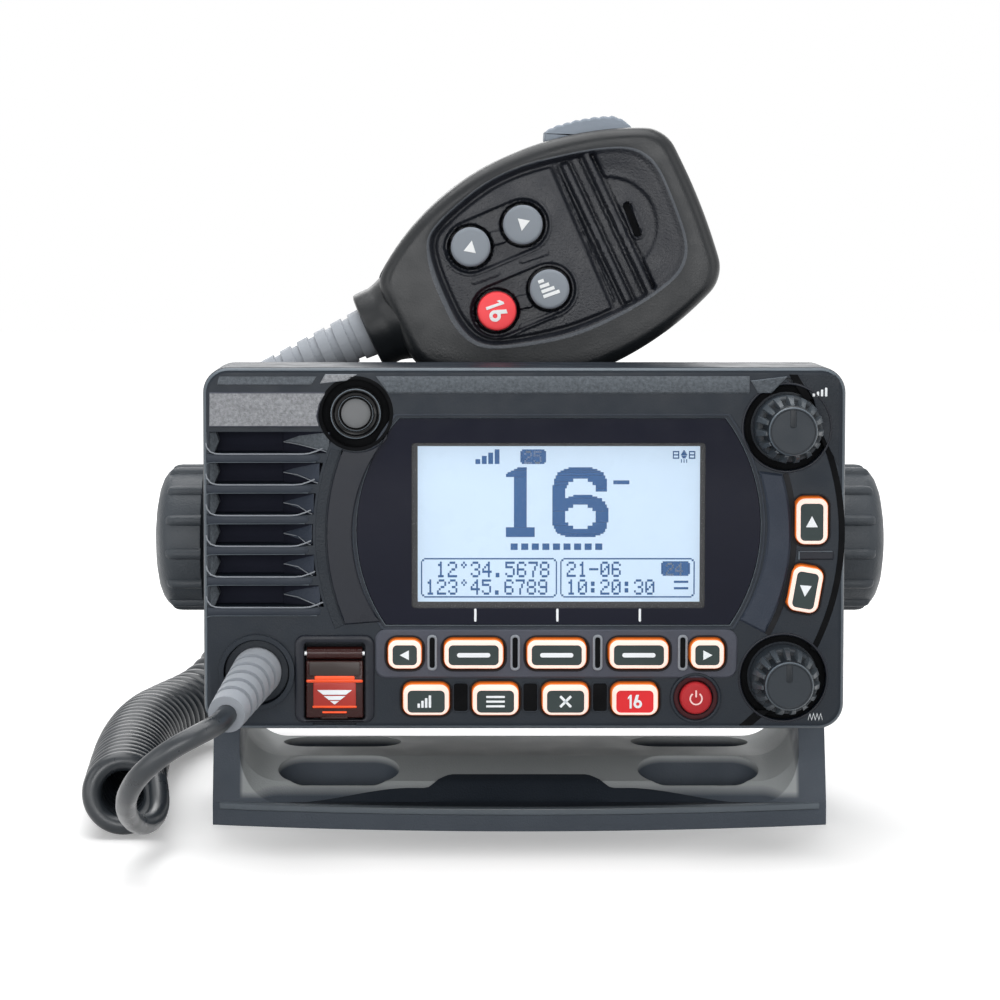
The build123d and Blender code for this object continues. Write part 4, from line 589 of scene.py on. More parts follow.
def angles(count: int) -> list[float]:
    """Evenly spaced angles around a circle, in radians."""
    return [2 * math.pi * at / count for at in range(count)]


def round_outline(middle: Flat, radius: float, steps: int = 48) -> list[Flat]:
    """Outline of a circle."""
    return [(middle[0] + radius * math.cos(a), middle[1] + radius * math.sin(a)) for a in angles(steps)]


def stretch(first: Flat, last: Flat, steps: int) -> list[Flat]:
    """Evenly spaced points from one place towards another, the last left out."""
    wide, tall = last[0] - first[0], last[1] - first[1]
    return [(first[0] + wide * i / steps, first[1] + tall * i / steps) for i in range(steps)]


def arc_points(middle: Flat, radius: float, start: float, end: float, steps: int) -> list[Flat]:
    """Points along an arc, both ends included.

    Args:
        middle: its centre.
        radius: its radius.
        start: its first angle in degrees.
        end: its last angle in degrees.
        steps: how many segments it has.

    Returns:
        The points, one more than the steps.
    """
    turns = [math.radians(start + (end - start) * i / steps) for i in range(steps + 1)]
    return [(middle[0] + radius * math.cos(a), middle[1] + radius * math.sin(a)) for a in turns]


def three_point_arc(first: Flat, middle: Flat, last: Flat, steps: int) -> list[Flat]:
    """Points along the arc through three points.

    Args:
        first: where it starts.
        middle: a point that it passes.
        last: where it ends.
        steps: how many segments it has.

    Returns:
        The points, both ends included.
    """
    (ax, ay), (bx, by), (cx, cy) = first, middle, last
    scale = 2 * (ax * (by - cy) + bx * (cy - ay) + cx * (ay - by))
    a_size, b_size, c_size = (x * x + y * y for x, y in (first, middle, last))
    ux = (a_size * (by - cy) + b_size * (cy - ay) + c_size * (ay - by)) / scale
    uy = (a_size * (cx - bx) + b_size * (ax - cx) + c_size * (bx - ax)) / scale
    start, via, end = (math.degrees(math.atan2(y - uy, x - ux)) for x, y in (first, middle, last))
    sweep = (end - start) % 360.0
    if (via - start) % 360.0 > sweep:
        sweep -= 360.0
    return arc_points((ux, uy), math.hypot(ax - ux, ay - uy), start, start + sweep, steps)


def shrunk(points: Sequence[Flat], inset: float) -> list[Flat]:
    """Move an outline inwards, each point along its own normal.

    Args:
        points: the outline, anticlockwise.
        inset: how far inwards, or outwards where it is negative.

    Returns:
        The moved outline.
    """
    found: list[Flat] = []
    for before, here, after in zip([points[-1], *points], points, [*points[1:], points[0]]):
        span = Vector((after[0] - before[0], after[1] - before[1])).normalized()
        found.append((here[0] - span.y * inset, here[1] + span.x * inset))
    return found


def eased(low: float, high: float, value: float) -> float:
    """Smooth step from 0 at one value to 1 at the other."""
    share = min(max((value - low) / (high - low), 0.0), 1.0)
    return share * share * (3 - 2 * share)


def to_segment(point: Flat, first: Flat, last: Flat) -> float:
    """Distance from a point to a stretch.

    Args:
        point: the point.
        first: one end of the stretch.
        last: its other end.

    Returns:
        The shortest distance.
    """
    span = (last[0] - first[0], last[1] - first[1])
    size = span[0] ** 2 + span[1] ** 2
    share = 0.0 if size == 0 else ((point[0] - first[0]) * span[0] + (point[1] - first[1]) * span[1]) / size
    share = min(max(share, 0.0), 1.0)
    return math.hypot(point[0] - first[0] - share * span[0], point[1] - first[1] - share * span[1])


class Mould:
    """Collects the skins of one piece, each with its own finish, and makes the mesh."""

    def __init__(self, name: str, facing: Facing = RADIO_FACE) -> None:
        """Start an empty piece.

        Args:
            name: its name.
            facing: the face that it is laid out on.
        """
        self.name = name
        self.facing = facing
        self.mesh = bmesh.new()
        self.finishes: list[Kit] = []

    @classmethod
    def holding(cls, name: str, mesh: EditMesh, finish: Kit) -> "Mould":
        """Start a piece from a ready mesh in one finish.

        Args:
            name: the piece's name.
            mesh: its mesh, in metres.
            finish: the finish all over.

        Returns:
            The started piece.
        """
        mould = cls(name)
        mould.mesh.free()
        mould.mesh = mesh
        mould.index(finish)
        return mould

    def index(self, finish: Kit) -> int:
        """Find the material slot of a finish, added at its first use.

        Args:
            finish: the finish.

        Returns:
            The slot's number.
        """
        if finish not in self.finishes:
            self.finishes.append(finish)
        return self.finishes.index(finish)

    def ring(self, outline: Iterable[Flat], out: float | Sequence[float]) -> Ring:
        """Add the vertices of an outline.

        Args:
            outline: the outline on the face.
            out: one height out of the face, or a height for each point.

        Returns:
            The vertices, in the outline's order.
        """
        points = list(outline)
        heights = [out] * len(points) if isinstance(out, (int, float)) else list(out)
        return [self.mesh.verts.new(self.facing.spot(u, v, w)) for (u, v), w in zip(points, heights)]

    def skin(self, rings: Sequence[Ring], finishes: Sequence[Kit]) -> None:
        """Join rings of equal count, one finish for each band.

        Args:
            rings: the rings, from the back to the front.
            finishes: a finish for each band, the last one for all that follow.
        """
        for band, (low, high) in enumerate(zip(rings, rings[1:])):
            slot = self.index(finishes[min(band, len(finishes) - 1)])
            for at in range(len(low)):
                after = (at + 1) % len(low)
                self.mesh.faces.new((low[at], low[after], high[after], high[at])).material_index = slot

    def cap(self, ring: Ring, finish: Kit, back: bool = False) -> None:
        """Close a ring with one face."""
        face = self.mesh.faces.new(reversed(ring) if back else ring)
        face.material_index = self.index(finish)

    def loft(self, rings: Sequence[Sequence[Vector]], finish: Kit, ends: Optional[Kit] = None) -> None:
        """A closed bar through rings of places.

        Args:
            rings: the places of each ring, in metres.
            finish: finish of its sides.
            ends: finish of its two ends, the sides' if left out.
        """
        made = [[self.mesh.verts.new(place) for place in ring] for ring in rings]
        self.cap(made[0], ends or finish)
        self.skin(made, [finish])
        self.cap(made[-1], ends or finish, back=True)

    def solid(self, outlines: Sequence[tuple[Sequence[Flat], float | Sequence[float]]],
              finishes: Sequence[Kit], top: Optional[Kit] = None) -> None:
        """A closed solid through a stack of outlines.

        Args:
            outlines: outline and height of each ring, from the back to the front.
            finishes: a finish for each band.
            top: finish of the front cap, the last band's if left out.
        """
        rings = [self.ring(outline, out) for outline, out in outlines]
        self.cap(rings[0], finishes[0], back=True)
        self.skin(rings, finishes)
        self.cap(rings[-1], top or finishes[-1])

    def plate(self, outline: Sequence[Flat], low: float, high: float, finish: Kit, edge: float = 0.0) -> None:
        """A flat plate.

        Args:
            outline: its outline, anticlockwise.
            low: height of its back.
            high: height of its front.
            finish: the finish all over.
            edge: radius of its rounded front edge.
        """
        stack = [(outline, low), (outline, high - edge)]
        for degrees in (30, 60, 90) if edge > 0 else ():
            angle = math.radians(degrees)
            inset, rise = edge * (1 - math.cos(angle)), edge * math.sin(angle)
            stack.append((shrunk(outline, inset), high - edge + rise))
        self.solid(stack, [finish])

    def frame(self, outer: Sequence[Flat], inner: Sequence[Flat], low: float, high: float, finish: Kit,
              edge: float = 0.2, inside: Optional[Kit] = None) -> None:
        """A closed ring between two outlines of equal count, with both front edges rounded.

        Args:
            outer: its outer outline.
            inner: its inner outline.
            low: height of its back.
            high: height of its front.
            finish: finish of its outside and its front.
            edge: radius of the front edges.
            inside: finish of its inside, the rest's if left out.
        """
        mid = edge * 0.3
        insets = ((0.0, low), (0.0, high - edge), (mid, high - mid), (edge, high))
        stack = [(shrunk(outer, inset) if inset else outer, out) for inset, out in insets]
        stack += [(shrunk(inner, -inset) if inset else inner, out) for inset, out in reversed(insets)]
        rings = [self.ring(outline, out) for outline, out in stack]
        self.skin([*rings, rings[0]], [finish] * 5 + [inside or finish] * 2 + [finish])

    def washer(self, middle: Flat, radii: Flat, low: float, high: float, finish: Kit, edge: float,
               steps: int = 48) -> None:
        """A round ring with both front edges rounded.

        Args:
            middle: its centre.
            radii: its outer and its inner radius.
            low: height of its back.
            high: height of its front.
            finish: the finish all over.
            edge: radius of the front edges.
            steps: segments around it.
        """
        outer, inner = (round_outline(middle, radius, steps) for radius in radii)
        self.frame(outer, inner, low, high, finish, edge)

    def holed(self, outer: Sequence[Flat], holes: Sequence[Sequence[Flat]], low: float, high: float,
              finish: Kit, edge: float = 0.0) -> None:
        """A flat plate with openings through it and softened front edges.

        Args:
            outer: its outline, anticlockwise.
            holes: outlines of the openings, anticlockwise.
            low: height of its back.
            high: height of its front.
            finish: the finish all over.
            edge: size of the front edges.
        """
        slot = self.index(finish)
        fronts: Ring = []
        backs: Ring = []
        flat: list[list[Vector]] = []
        for loop, inset in ((list(outer), edge), *((list(hole), -edge) for hole in holes)):
            back = self.ring(loop, low)
            front_loop = shrunk(loop, inset) if edge else loop
            front = self.ring(front_loop, high)
            self.skin([back, self.ring(loop, high - edge), front] if edge else [back, front], [finish])
            fronts += front
            backs += back
            flat.append([Vector((u, v, 0.0)) for u, v in front_loop])
        for triple in tessellate_polygon(flat):
            self.mesh.faces.new([fronts[at] for at in triple]).material_index = slot
            self.mesh.faces.new([backs[at] for at in reversed(triple)]).material_index = slot

    def crown(self, outline: Sequence[Flat], low: float, high: float, edge: float, finish: Kit) -> None:
        """A plate with a softened edge, for an outline of any shape in either order.

        Args:
            outline: its outline.
            low: height of its back.
            high: height of its front.
            edge: size of the front edge.
            finish: the finish all over.
        """
        area = sum(a[0] * b[1] - b[0] * a[1] for a, b in zip(outline, [*outline[1:], outline[0]]))
        self.holed(list(outline) if area > 0 else list(reversed(outline)), [], low, high, finish, edge)

    def sloped(self, outline: Sequence[Flat], heights: Sequence[float], finish: Kit,
               side: Optional[Kit] = None, base: float = -0.6, edge: float = 0.3) -> None:
        """A plate whose front leans, given a height for each corner.

        Args:
            outline: its corners, anticlockwise.
            heights: height of each corner.
            finish: finish of its front.
            side: finish of its sides, the front's if left out.
            base: height of its back.
            edge: width of its bevelled edge.
        """
        self.solid([(outline, base), (outline, [high - edge for high in heights]),
                    (shrunk(outline, edge), heights)], [side or finish], finish)

    def bead(self, path: Sequence[Point], width: float, finish: Kit) -> None:
        """A narrow rounded bead along a path.

        Args:
            path: places along it: across, up and height.
            width: its width.
            finish: its finish.
        """
        rings = []
        for before, (across, up, out), after in zip([path[0], *path], path, [*path[1:], path[-1]]):
            span = Vector((after[0] - before[0], after[1] - before[1])).normalized() * (width / 2)
            rings.append([self.facing.spot(across - span.y * side, up + span.x * side, out + rise)
                          for side, rise in BEAD_SECTION])
        self.loft(rings, finish)

    def done(self, body: str, *nodes: str, smooth_deg: float = 32.0) -> Piece:
        """Make the piece, dress it and put it on its body.

        Args:
            body: the body that it rides on.
            nodes: nodes that it stands for.
            smooth_deg: edges flatter than this are shaded smooth.

        Returns:
            The finished piece.
        """
        bmesh.ops.remove_doubles(self.mesh, verts=self.mesh.verts, dist=1e-7)
        bmesh.ops.recalc_face_normals(self.mesh, faces=self.mesh.faces)
        mesh = bpy.data.meshes.new(self.name)
        self.mesh.to_mesh(mesh)
        self.mesh.free()
        return placed(self.name, mesh, self.finishes, body, nodes, smooth_deg)


# ------------------------------------------------------------------ keys
class Sign(Enum):
    """The plain signs on the keys."""

    NONE = "none"
    LEFT = "left"
    RIGHT = "right"
    UP = "up"
    DOWN = "down"
    BAR = "bar"
    LEVELS = "levels"
    LIST = "list"
    CROSS = "cross"
    SIXTEEN = "16"


DIGITS: dict[str, str] = {
    "0": "01110 10001 10011 10101 11001 10001 01110",
    "1": "00100 01100 00100 00100 00100 00100 01110",
    "2": "01110 10001 00001 00110 01000 10000 11111",
    "3": "01110 10001 00001 00110 00001 10001 01110",
    "4": "00010 00110 01010 10010 11111 00010 00010",
    "5": "11111 10000 11110 00001 00001 10001 01110",
    "6": "01110 10001 10000 11110 10001 10001 01110",
    "7": "11111 00001 00010 00010 00100 00100 00100",
    "8": "01110 10001 10001 01110 10001 10001 01110",
    "9": "01110 10001 10001 01111 00001 10001 01110",
    ".": "00000 00000 00000 00000 00000 01100 01100",
    ":": "00000 01100 01100 00000 01100 01100 00000",
    "'": "00100 01010 00100 00000 00000 00000 00000",
    "-": "00000 00000 00000 11111 00000 00000 00000",
    " ": "00000 00000 00000 00000 00000 00000 00000",
}


def sign_shapes(sign: Sign, size: float) -> list[list[Flat]]:
    """Outlines of a sign about the origin, anticlockwise.

    Args:
        sign: which sign.
        size: its height in millimetres.

    Returns:
        One or more outlines.
    """
    half = size / 2
    arrows = {Sign.UP: 0, Sign.LEFT: 90, Sign.DOWN: 180, Sign.RIGHT: 270}
    if sign in arrows:
        arrow = [(0.0, half), (-half * 0.95, -half * 0.8), (half * 0.95, -half * 0.8)]
        return [turned(arrow, (0, 0), arrows[sign])]
    if sign is Sign.BAR:
        return [rounded_box((0, 0), size * 7.4, size, size / 2)]
    if sign is Sign.LEVELS:
        talls = [0.35 + 0.22 * at for at in range(4)]
        return [rounded_box((-1.2 * half + 0.6 * half * at, -half + tall * size / 2), size * 0.2, tall * size,
                            0.1, steps=2) for at, tall in enumerate(talls)]
    if sign is Sign.LIST:
        return [rounded_box((0, shift * size * 0.38), size * 1.5, size * 0.17, 0.1, steps=2)
                for shift in (-1, 0, 1)]
    if sign is Sign.CROSS:
        return [rounded_box((0, 0), size * 1.2, size * 0.2, 0.1, lean, 2) for lean in (45, -45)]
    if sign is Sign.SIXTEEN:
        wide = size * 0.13
        corners = ((-0.6, -1), (0.6, -1), (0.6, 1), (-0.3, 1), (-1.6, 0.62), (-1.6, 0.32), (-0.6, 0.55))
        one = [(-half * 0.62 + across * wide, up * half) for across, up in corners]
        bowl = (half * 0.42, -half * 0.36)
        outer, inner = half * 0.62, half * 0.26
        arcs = ((outer, 165, 269, 8), (inner, 269, -89, 16), (outer, 271, 450, 12))
        curve = [point for arc in arcs for point in arc_points(bowl, *arc)]
        return [one, [(half * 0.15, half), *curve, (half * 0.6, half)]]
    return []


@dataclass
class KeyCap:
    """One backlit silicone key: a lit skirt, a pale rim, a dark printed face and its sign."""

    node: str
    middle: Flat
    width: float
    height: float
    corner: float = 2.2
    lean: float = 0.0
    sign: Sign = Sign.NONE
    sign_size: float = 2.2
    face: Kit = Kit.KEY
    proud: float = 1.6
    wall: float = 4.0
    flange: float = 0.7
    rim: float = 1.15
    drop: float = 0.28

    def outline(self, inset: float, drop: float = 0.0) -> list[Flat]:
        """The key's outline, moved inwards and a little down.

        Args:
            inset: how far inwards.
            drop: how far down.

        Returns:
            The outline.
        """
        middle = (self.middle[0], self.middle[1] - drop)
        corner = max(self.corner - inset, 0.4)
        return rounded_box(middle, self.width - 2 * inset, self.height - 2 * inset, corner, self.lean)

    def build(self) -> None:
        """Make the key in place of its plain cap."""
        mould = Mould(self.node + "_cap")
        back = -self.wall - 1.1
        flange, body = self.outline(-self.flange), self.outline(0.0)
        mould.solid([
            (flange, back), (flange, back + 1.0), (body, back + 1.0), (body, self.proud - 0.55),
            (self.outline(0.08, 0.04), self.proud - 0.22), (self.outline(0.18, 0.06), self.proud - 0.08),
            (self.outline(0.3, 0.08), self.proud), (self.outline(self.rim, self.drop), self.proud),
            (self.outline(self.rim + 0.12, self.drop), self.proud - 0.08),
        ], [Kit.KEY_GREY] * 2 + [Kit.GLOW] * 3 + [Kit.RIM] * 2 + [self.face], self.face)
        for shape in sign_shapes(self.sign, self.sign_size):
            sign = [(u + self.middle[0], v + self.middle[1] - self.drop) for u, v in shape]
            mould.plate(turned(sign, self.middle, self.lean / 2), self.proud - 0.2, self.proud - 0.04,
                        Kit.LEGEND)
        mould.done(self.node, self.node)


@dataclass
class Keypad:
    """The front keys and what stands between them."""

    row_one: float = 49.0
    row_two: float = 38.3
    power_at: Flat = (40.2, 38.5)
    power_radius: float = 3.75
    power_proud: float = 1.6
    posts_across: tuple[float, ...] = (-21.5, -2.1, 17.2, 37.1)
    pads_across: tuple[float, ...] = (-14.8, 1.5, 17.8)

    def keys(self) -> list[KeyCap]:
        """All the rectangular keys.

        Returns:
            The keys, row by row.
        """
        soft = [KeyCap("key_soft_" + word, (across, self.row_one), 14.0, 7.0, sign=Sign.BAR, sign_size=1.05)
                for word, across in (("left", -11.8), ("middle", 7.6), ("right", 26.8))]
        lower = [KeyCap("key_" + word, (across, self.row_two), 11.0, 7.5, sign=sign, sign_size=size,
                        drop=0.5, face=face)
                 for word, across, sign, size, face in (
                     ("output_power", -22.9, Sign.LEVELS, 2.9, Kit.KEY),
                     ("menu", -6.7, Sign.LIST, 2.9, Kit.KEY), ("clear", 9.7, Sign.CROSS, 3.0, Kit.KEY),
                     ("calling_channel", 25.9, Sign.SIXTEEN, 3.2, Kit.KEY_RED))]
        return [
            KeyCap("key_left", (-27.9, self.row_one), 8.0, 7.0, sign=Sign.LEFT, sign_size=2.4), *soft,
            KeyCap("key_right", (42.8, self.row_one), 8.0, 7.0, sign=Sign.RIGHT, sign_size=2.4), *lower,
            KeyCap("key_up", (67.0, 80.2), 7.6, 11.0, sign=Sign.UP, sign_size=2.9),
            KeyCap("key_down", (65.6, 64.2), 7.4, 10.8, lean=-10.0, sign=Sign.DOWN, sign_size=2.9),
        ]

    def power_key(self) -> None:
        """The round power key with its sign."""
        middle, proud = self.power_at, self.power_proud
        mould = Mould("key_power_cap")
        stack = ((0.7, -5.1), (0.7, -4.1), (0.0, -4.1), (0.0, proud - 0.7), (-0.12, proud - 0.35),
                 (-0.4, proud - 0.08), (-0.8, proud), (-2.4, proud + 0.02))
        mould.solid([(round_outline(middle, self.power_radius + grow), out) for grow, out in stack],
                    [Kit.KEY_GREY, Kit.KEY_GREY, Kit.POWER_KEY])
        ring = [*arc_points(middle, 1.55, 125, 415, 24), *arc_points(middle, 1.2, 415, 125, 24)]
        stroke = rounded_box((middle[0], middle[1] + 1.15), 0.36, 1.7, 0.15, steps=2)
        for outline in (ring, stroke):
            mould.plate(outline, proud - 0.1, proud + 0.05, Kit.POWER_SIGN)
        mould.done("key_power", "key_power")

    def band(self) -> None:
        """Raised etched band behind the upper row, open at its keys."""
        mould = Mould("key_band")
        outline = rounded_box((7.5, 48.9), 84.8, 11.4, 2.6, steps=8)
        openings = [key.outline(-0.45) for key in self.keys() if key.middle[1] == self.row_one]
        mould.holed(outline, openings, -0.2, 0.55, Kit.ETCHED, 0.35)
        mould.done("radio")

    def posts(self) -> None:
        """Posts between the keys of the upper row, with painted highlights on their edges and painted shade
        in their middles.
        """
        mould = Mould("key_posts")
        for across in self.posts_across:
            middle = (across, 49.2)
            mould.frame(rounded_box(middle, 2.3, 8.4, 1.0), rounded_box(middle, 1.2, 7.2, 0.55), 0.2, 1.0,
                        Kit.SHARP, 0.18)
            mould.plate(rounded_box(middle, 1.3, 7.3, 0.6), 0.3, 0.72, Kit.DEEP)
        mould.done("radio")

    def pads(self) -> None:
        """Pads between the lower keys, painted dark as the shade between them."""
        mould = Mould("key_pads")
        for across in self.pads_across:
            middle = (across, 38.6)
            mould.frame(rounded_box(middle, 3.9, 7.2, 0.8), rounded_box(middle, 3.2, 6.5, 0.6), -0.2, 0.25,
                        Kit.HOUSING, 0.1)
            mould.plate(rounded_box(middle, 3.3, 6.6, 0.6), -0.2, 0.08, Kit.DEEP)
        mould.done("radio")

    def wells(self) -> None:
        """Grooves round the keys, painted dark as shade, and the power key's ring, with its bed painted dark
        red as shade.
        """
        mould = Mould("key_wells")
        for key in self.keys():
            high = 0.66 if key.middle[1] == self.row_one else 0.3
            mould.frame(key.outline(-0.76), key.outline(-0.34), 0.0, high, Kit.WELL, 0.12)
        mould.washer(self.power_at, (6.0, 5.2), -0.1, 0.7, Kit.HOUSING, 0.25)
        mould.washer(self.power_at, (5.15, 4.1), -0.1, 0.12, Kit.POWER_HALO, 0.1)
        mould.done("radio")

    def build(self) -> None:
        """Make every key and its surround."""
        for key in self.keys():
            key.build()
        self.power_key()
        self.band()
        self.posts()
        self.pads()
        self.wells()


# ------------------------------------------------------------------ display
# rows of the two large figures: how tall a run of rows is, and where its dots start and end
Figure = tuple[tuple[int, tuple[tuple[int, int], ...]], ...]
BIG_ONE: Figure = (
    (1, ((7, 13),)), (1, ((5, 13),)), (1, ((3, 13),)), (1, ((1, 13),)), (2, ((0, 13),)), (31, ((5, 13),)),
    (6, ((0, 18),)))
BIG_SIX: Figure = (
    (1, ((10, 25),)), (1, ((7, 28),)), (1, ((5, 30),)), (2, ((3, 32),)), (2, ((2, 33),)),
    (2, ((1, 13), (22, 34))), (2, ((1, 10), (25, 34))), (2, ((0, 9), (27, 34))), (2, ((0, 8), (27, 34))),
    (2, ((0, 8),)), (1, ((0, 8), (13, 25))), (1, ((0, 8), (10, 28))), (2, ((0, 31),)), (2, ((0, 33),)),
    (2, ((0, 13), (22, 34))), (2, ((0, 10), (25, 35))), (7, ((0, 8), (27, 35))), (2, ((0, 10), (25, 34))),
    (2, ((1, 13), (22, 34))), (2, ((2, 33),)), (1, ((3, 32),)), (1, ((5, 30),)), (1, ((8, 27),)))


@dataclass
class Display:
    """The lens, the lit panel behind it and what the panel shows."""

    top: Point = (-29.3, 47.0, 104.2)
    low: Point = (-32.5, 48.2, 55.5)
    sides: Flat = (-39.3, 55.4)
    mid_up: float = 79.0
    window: tuple[float, float, float, float] = (-26.3, 42.3, 59.5, 98.3)
    picture: tuple[float, float, float, float] = (-24.9, 41.2, 60.8, 97.4)
    dots: tuple[int, int] = (176, 96)
    ink_level: float = -2.37
    ticks_across: Point = (-11.4, 7.8, 27.1)

    def outline(self, inset: float) -> list[Flat]:
        """The lens's barrel outline, anticlockwise from the lower left.

        Args:
            inset: how far it is moved inwards.

        Returns:
            The outline.
        """
        left, right, high = self.top[0] + inset, self.top[1] - inset, self.top[2] - inset
        low_left, low_right, bottom = self.low[0] + inset, self.low[1] - inset, self.low[2] + inset
        east, west = (self.sides[1] - inset, self.mid_up), (self.sides[0] + inset, self.mid_up)
        return [*three_point_arc((low_right, bottom), east, (right, high), 20),
                *stretch((right, high), (left, high), 12)[1:],
                *three_point_arc((left, high), west, (low_left, bottom), 20),
                *stretch((low_left, bottom), (low_right, bottom), 12)[1:]]

    def lens(self) -> None:
        """Black-backed lens with a clear window."""
        left, right, low, high = self.window
        mould = Mould("lens_cover")
        hole = rounded_box(((left + right) / 2, (low + high) / 2), right - left, high - low, 0.8)
        mould.holed(self.outline(0.2), [hole], -2.2, -0.32, Kit.WINDOW)
        mould.done("radio", "display_lens")
        pane = Mould("lens_window")
        pane.plate(shrunk(hole, -0.05), -1.3, -0.5, Kit.CLEAR)
        pane.done("radio")

    def dot(self, column: float, row: float) -> Flat:
        """Place of a picture dot's lower left corner, rows counted down from the top."""
        left, right, low, high = self.picture
        return (left + (right - left) * column / self.dots[0], high - (high - low) * row / self.dots[1])

    def block(self, mould: Mould, column: float, row: float, wide: float, tall: float,
              finish: Kit = Kit.INK) -> None:
        """One filled rectangle of dots.

        Args:
            mould: the piece that it goes into.
            column: its left edge.
            row: its upper edge.
            wide: its width.
            tall: its height.
            finish: its finish.
        """
        left, top = self.dot(column, row)
        right, low = self.dot(column + wide, row + tall)
        mould.cap(mould.ring([(left, low), (right, low), (right, top), (left, top)], self.ink_level), finish)

    def write(self, mould: Mould, text: str, column: float, row: float, size: float,
              finish: Kit = Kit.INK) -> None:
        """Write figures in five by seven dots, each run of dots as one block.

        Args:
            mould: the piece that they go into.
            text: the figures.
            column: left edge of the first one.
            row: their upper edge.
            size: width of one dot.
            finish: their finish.
        """
        for index, letter in enumerate(text):
            for down, line in enumerate(DIGITS[letter].split()):
                for run in re.finditer("1+", line):
                    self.block(mould, column + (index * 6.1 + run.start()) * size, row + down * size * 1.18,
                               (run.end() - run.start()) * size, size * 1.2, finish)

    def big_figure(self, mould: Mould, rows: Figure, column: float, row: float) -> None:
        """A large figure given as runs of dots.

        Args:
            mould: the piece that it goes into.
            rows: how many rows tall each run is, and where its parts start and end.
            column: its left edge.
            row: its upper edge.
        """
        for tall, runs in rows:
            for start, end in runs:
                self.block(mould, column + start, row, end - start, tall + 0.02)
            row += tall

    def panel(self) -> None:
        """The lit panel in its black mask."""
        mould = Mould("lit_panel")
        for (left, right, low, high), grow, corner, back, front, finish in (
                (self.window, 3.6, 0.5, -4.4, -2.44, Kit.LENS_SHADE),
                (self.picture, 0.0, 0.1, -2.44, -2.4, Kit.DISPLAY)):
            middle = ((left + right) / 2, (low + high) / 2)
            outline = rounded_box(middle, right - left + grow, high - low + grow, corner)
            mould.plate(outline, back, front, finish)
        mould.done("radio", "lcd_panel")

    def ink(self) -> None:
        """What the panel shows: the channel's number, small signs and two framed groups of figures."""
        mould = Mould("panel_ink")
        self.big_figure(mould, BIG_ONE, 55, 13)
        self.big_figure(mould, BIG_SIX, 84, 13)
        for index, tall in enumerate((3, 5, 7, 9)):
            self.block(mould, 36 + index * 4, 11 - tall, 3, tall)
        self.label(mould, "25", 64, 2, 16, 66.5)
        self.satellite(mould, 159, 3)
        self.write(mould, "-", 122, 14, 2.0)
        for index in range(9):
            self.block(mould, 58 + index * 6.6, 60, 4.4, 4)
        for start, end in ((2, 87), (89, 173)):
            self.rounded_frame(mould, start, 69, end, 93.5)
        for text, column, row, size in (("12'34.5678", 11.5, 71.2, 1.18), ("123'45.6789", 5, 82.2, 1.15),
                                        ("21-06", 93, 71.2, 1.15), ("10:20:30", 93, 82.2, 1.15)):
            self.write(mould, text, column, row, size)
        self.label(mould, "24", 152, 71, 18, 155)
        for row in (83, 87):
            self.block(mould, 160, row, 9, 1.4)
        mould.done("radio")

    def label(self, mould: Mould, text: str, column: float, row: float, wide: float, start: float) -> None:
        """A filled tag with clipped corners and pale figures on it.

        Args:
            mould: the piece that it goes into.
            text: the figures.
            column: its left edge.
            row: its upper edge.
            wide: its width.
            start: left edge of the figures.
        """
        self.block(mould, column + 1, row, wide - 2, 9)
        for edge in (column, column + wide - 1):
            self.block(mould, edge, row + 1, 1, 7)
        self.write(mould, text, start, row + 1, 0.95, Kit.DISPLAY)

    def rounded_frame(self, mould: Mould, left: float, top: float, right: float, low: float) -> None:
        """A thin frame with clipped corners.

        Args:
            mould: the piece that it goes into.
            left: its left edge.
            top: its upper edge.
            right: its right edge.
            low: its lower edge.
        """
        for row in (top, low - 0.9):
            self.block(mould, left + 2, row, right - left - 4, 0.9)
        for column in (left, right - 0.8):
            self.block(mould, column, top + 2, 0.8, low - top - 4)
        for column in (left + 0.7, right - 2.0):
            for row in (top + 0.8, low - 2.0):
                self.block(mould, column, row, 1.3, 1.2)

    def satellite(self, mould: Mould, column: float, row: float) -> None:
        """A small satellite sign: two panels, a round body and its three rays.

        Args:
            mould: the piece that it goes into.
            column: its left edge.
            row: its upper edge.
        """
        for wing in (column, column + 10):
            for down in (0, 2, 4):
                self.block(mould, wing, row + down, 4, 0.8)
            for edge in (wing, wing + 3.3):
                self.block(mould, edge, row, 0.7, 4.8)
        for wide, down in ((1, -0.5), (2, 0.3), (3, 1.1), (4, 1.9), (3, 2.9), (2, 3.7)):
            self.block(mould, column + 7 - wide / 2, row + down, wide, 0.85)
        for shift in (-1.6, 0, 1.6):
            self.block(mould, column + 6.7 + shift, row + 5, 0.6, 2.2)

    def ticks(self) -> None:
        """White marks under the panel, one over each soft key."""
        mould = Mould("soft_key_ticks")
        for across in self.ticks_across:
            mould.plate(rounded_box((across, 57.9), 0.55, 3.1, 0.25, steps=2), -0.4, -0.28, Kit.LEGEND)
        mould.done("radio")

    def build(self) -> None:
        """Make the display."""
        self.lens()
        self.panel()
        self.ink()
        self.ticks()


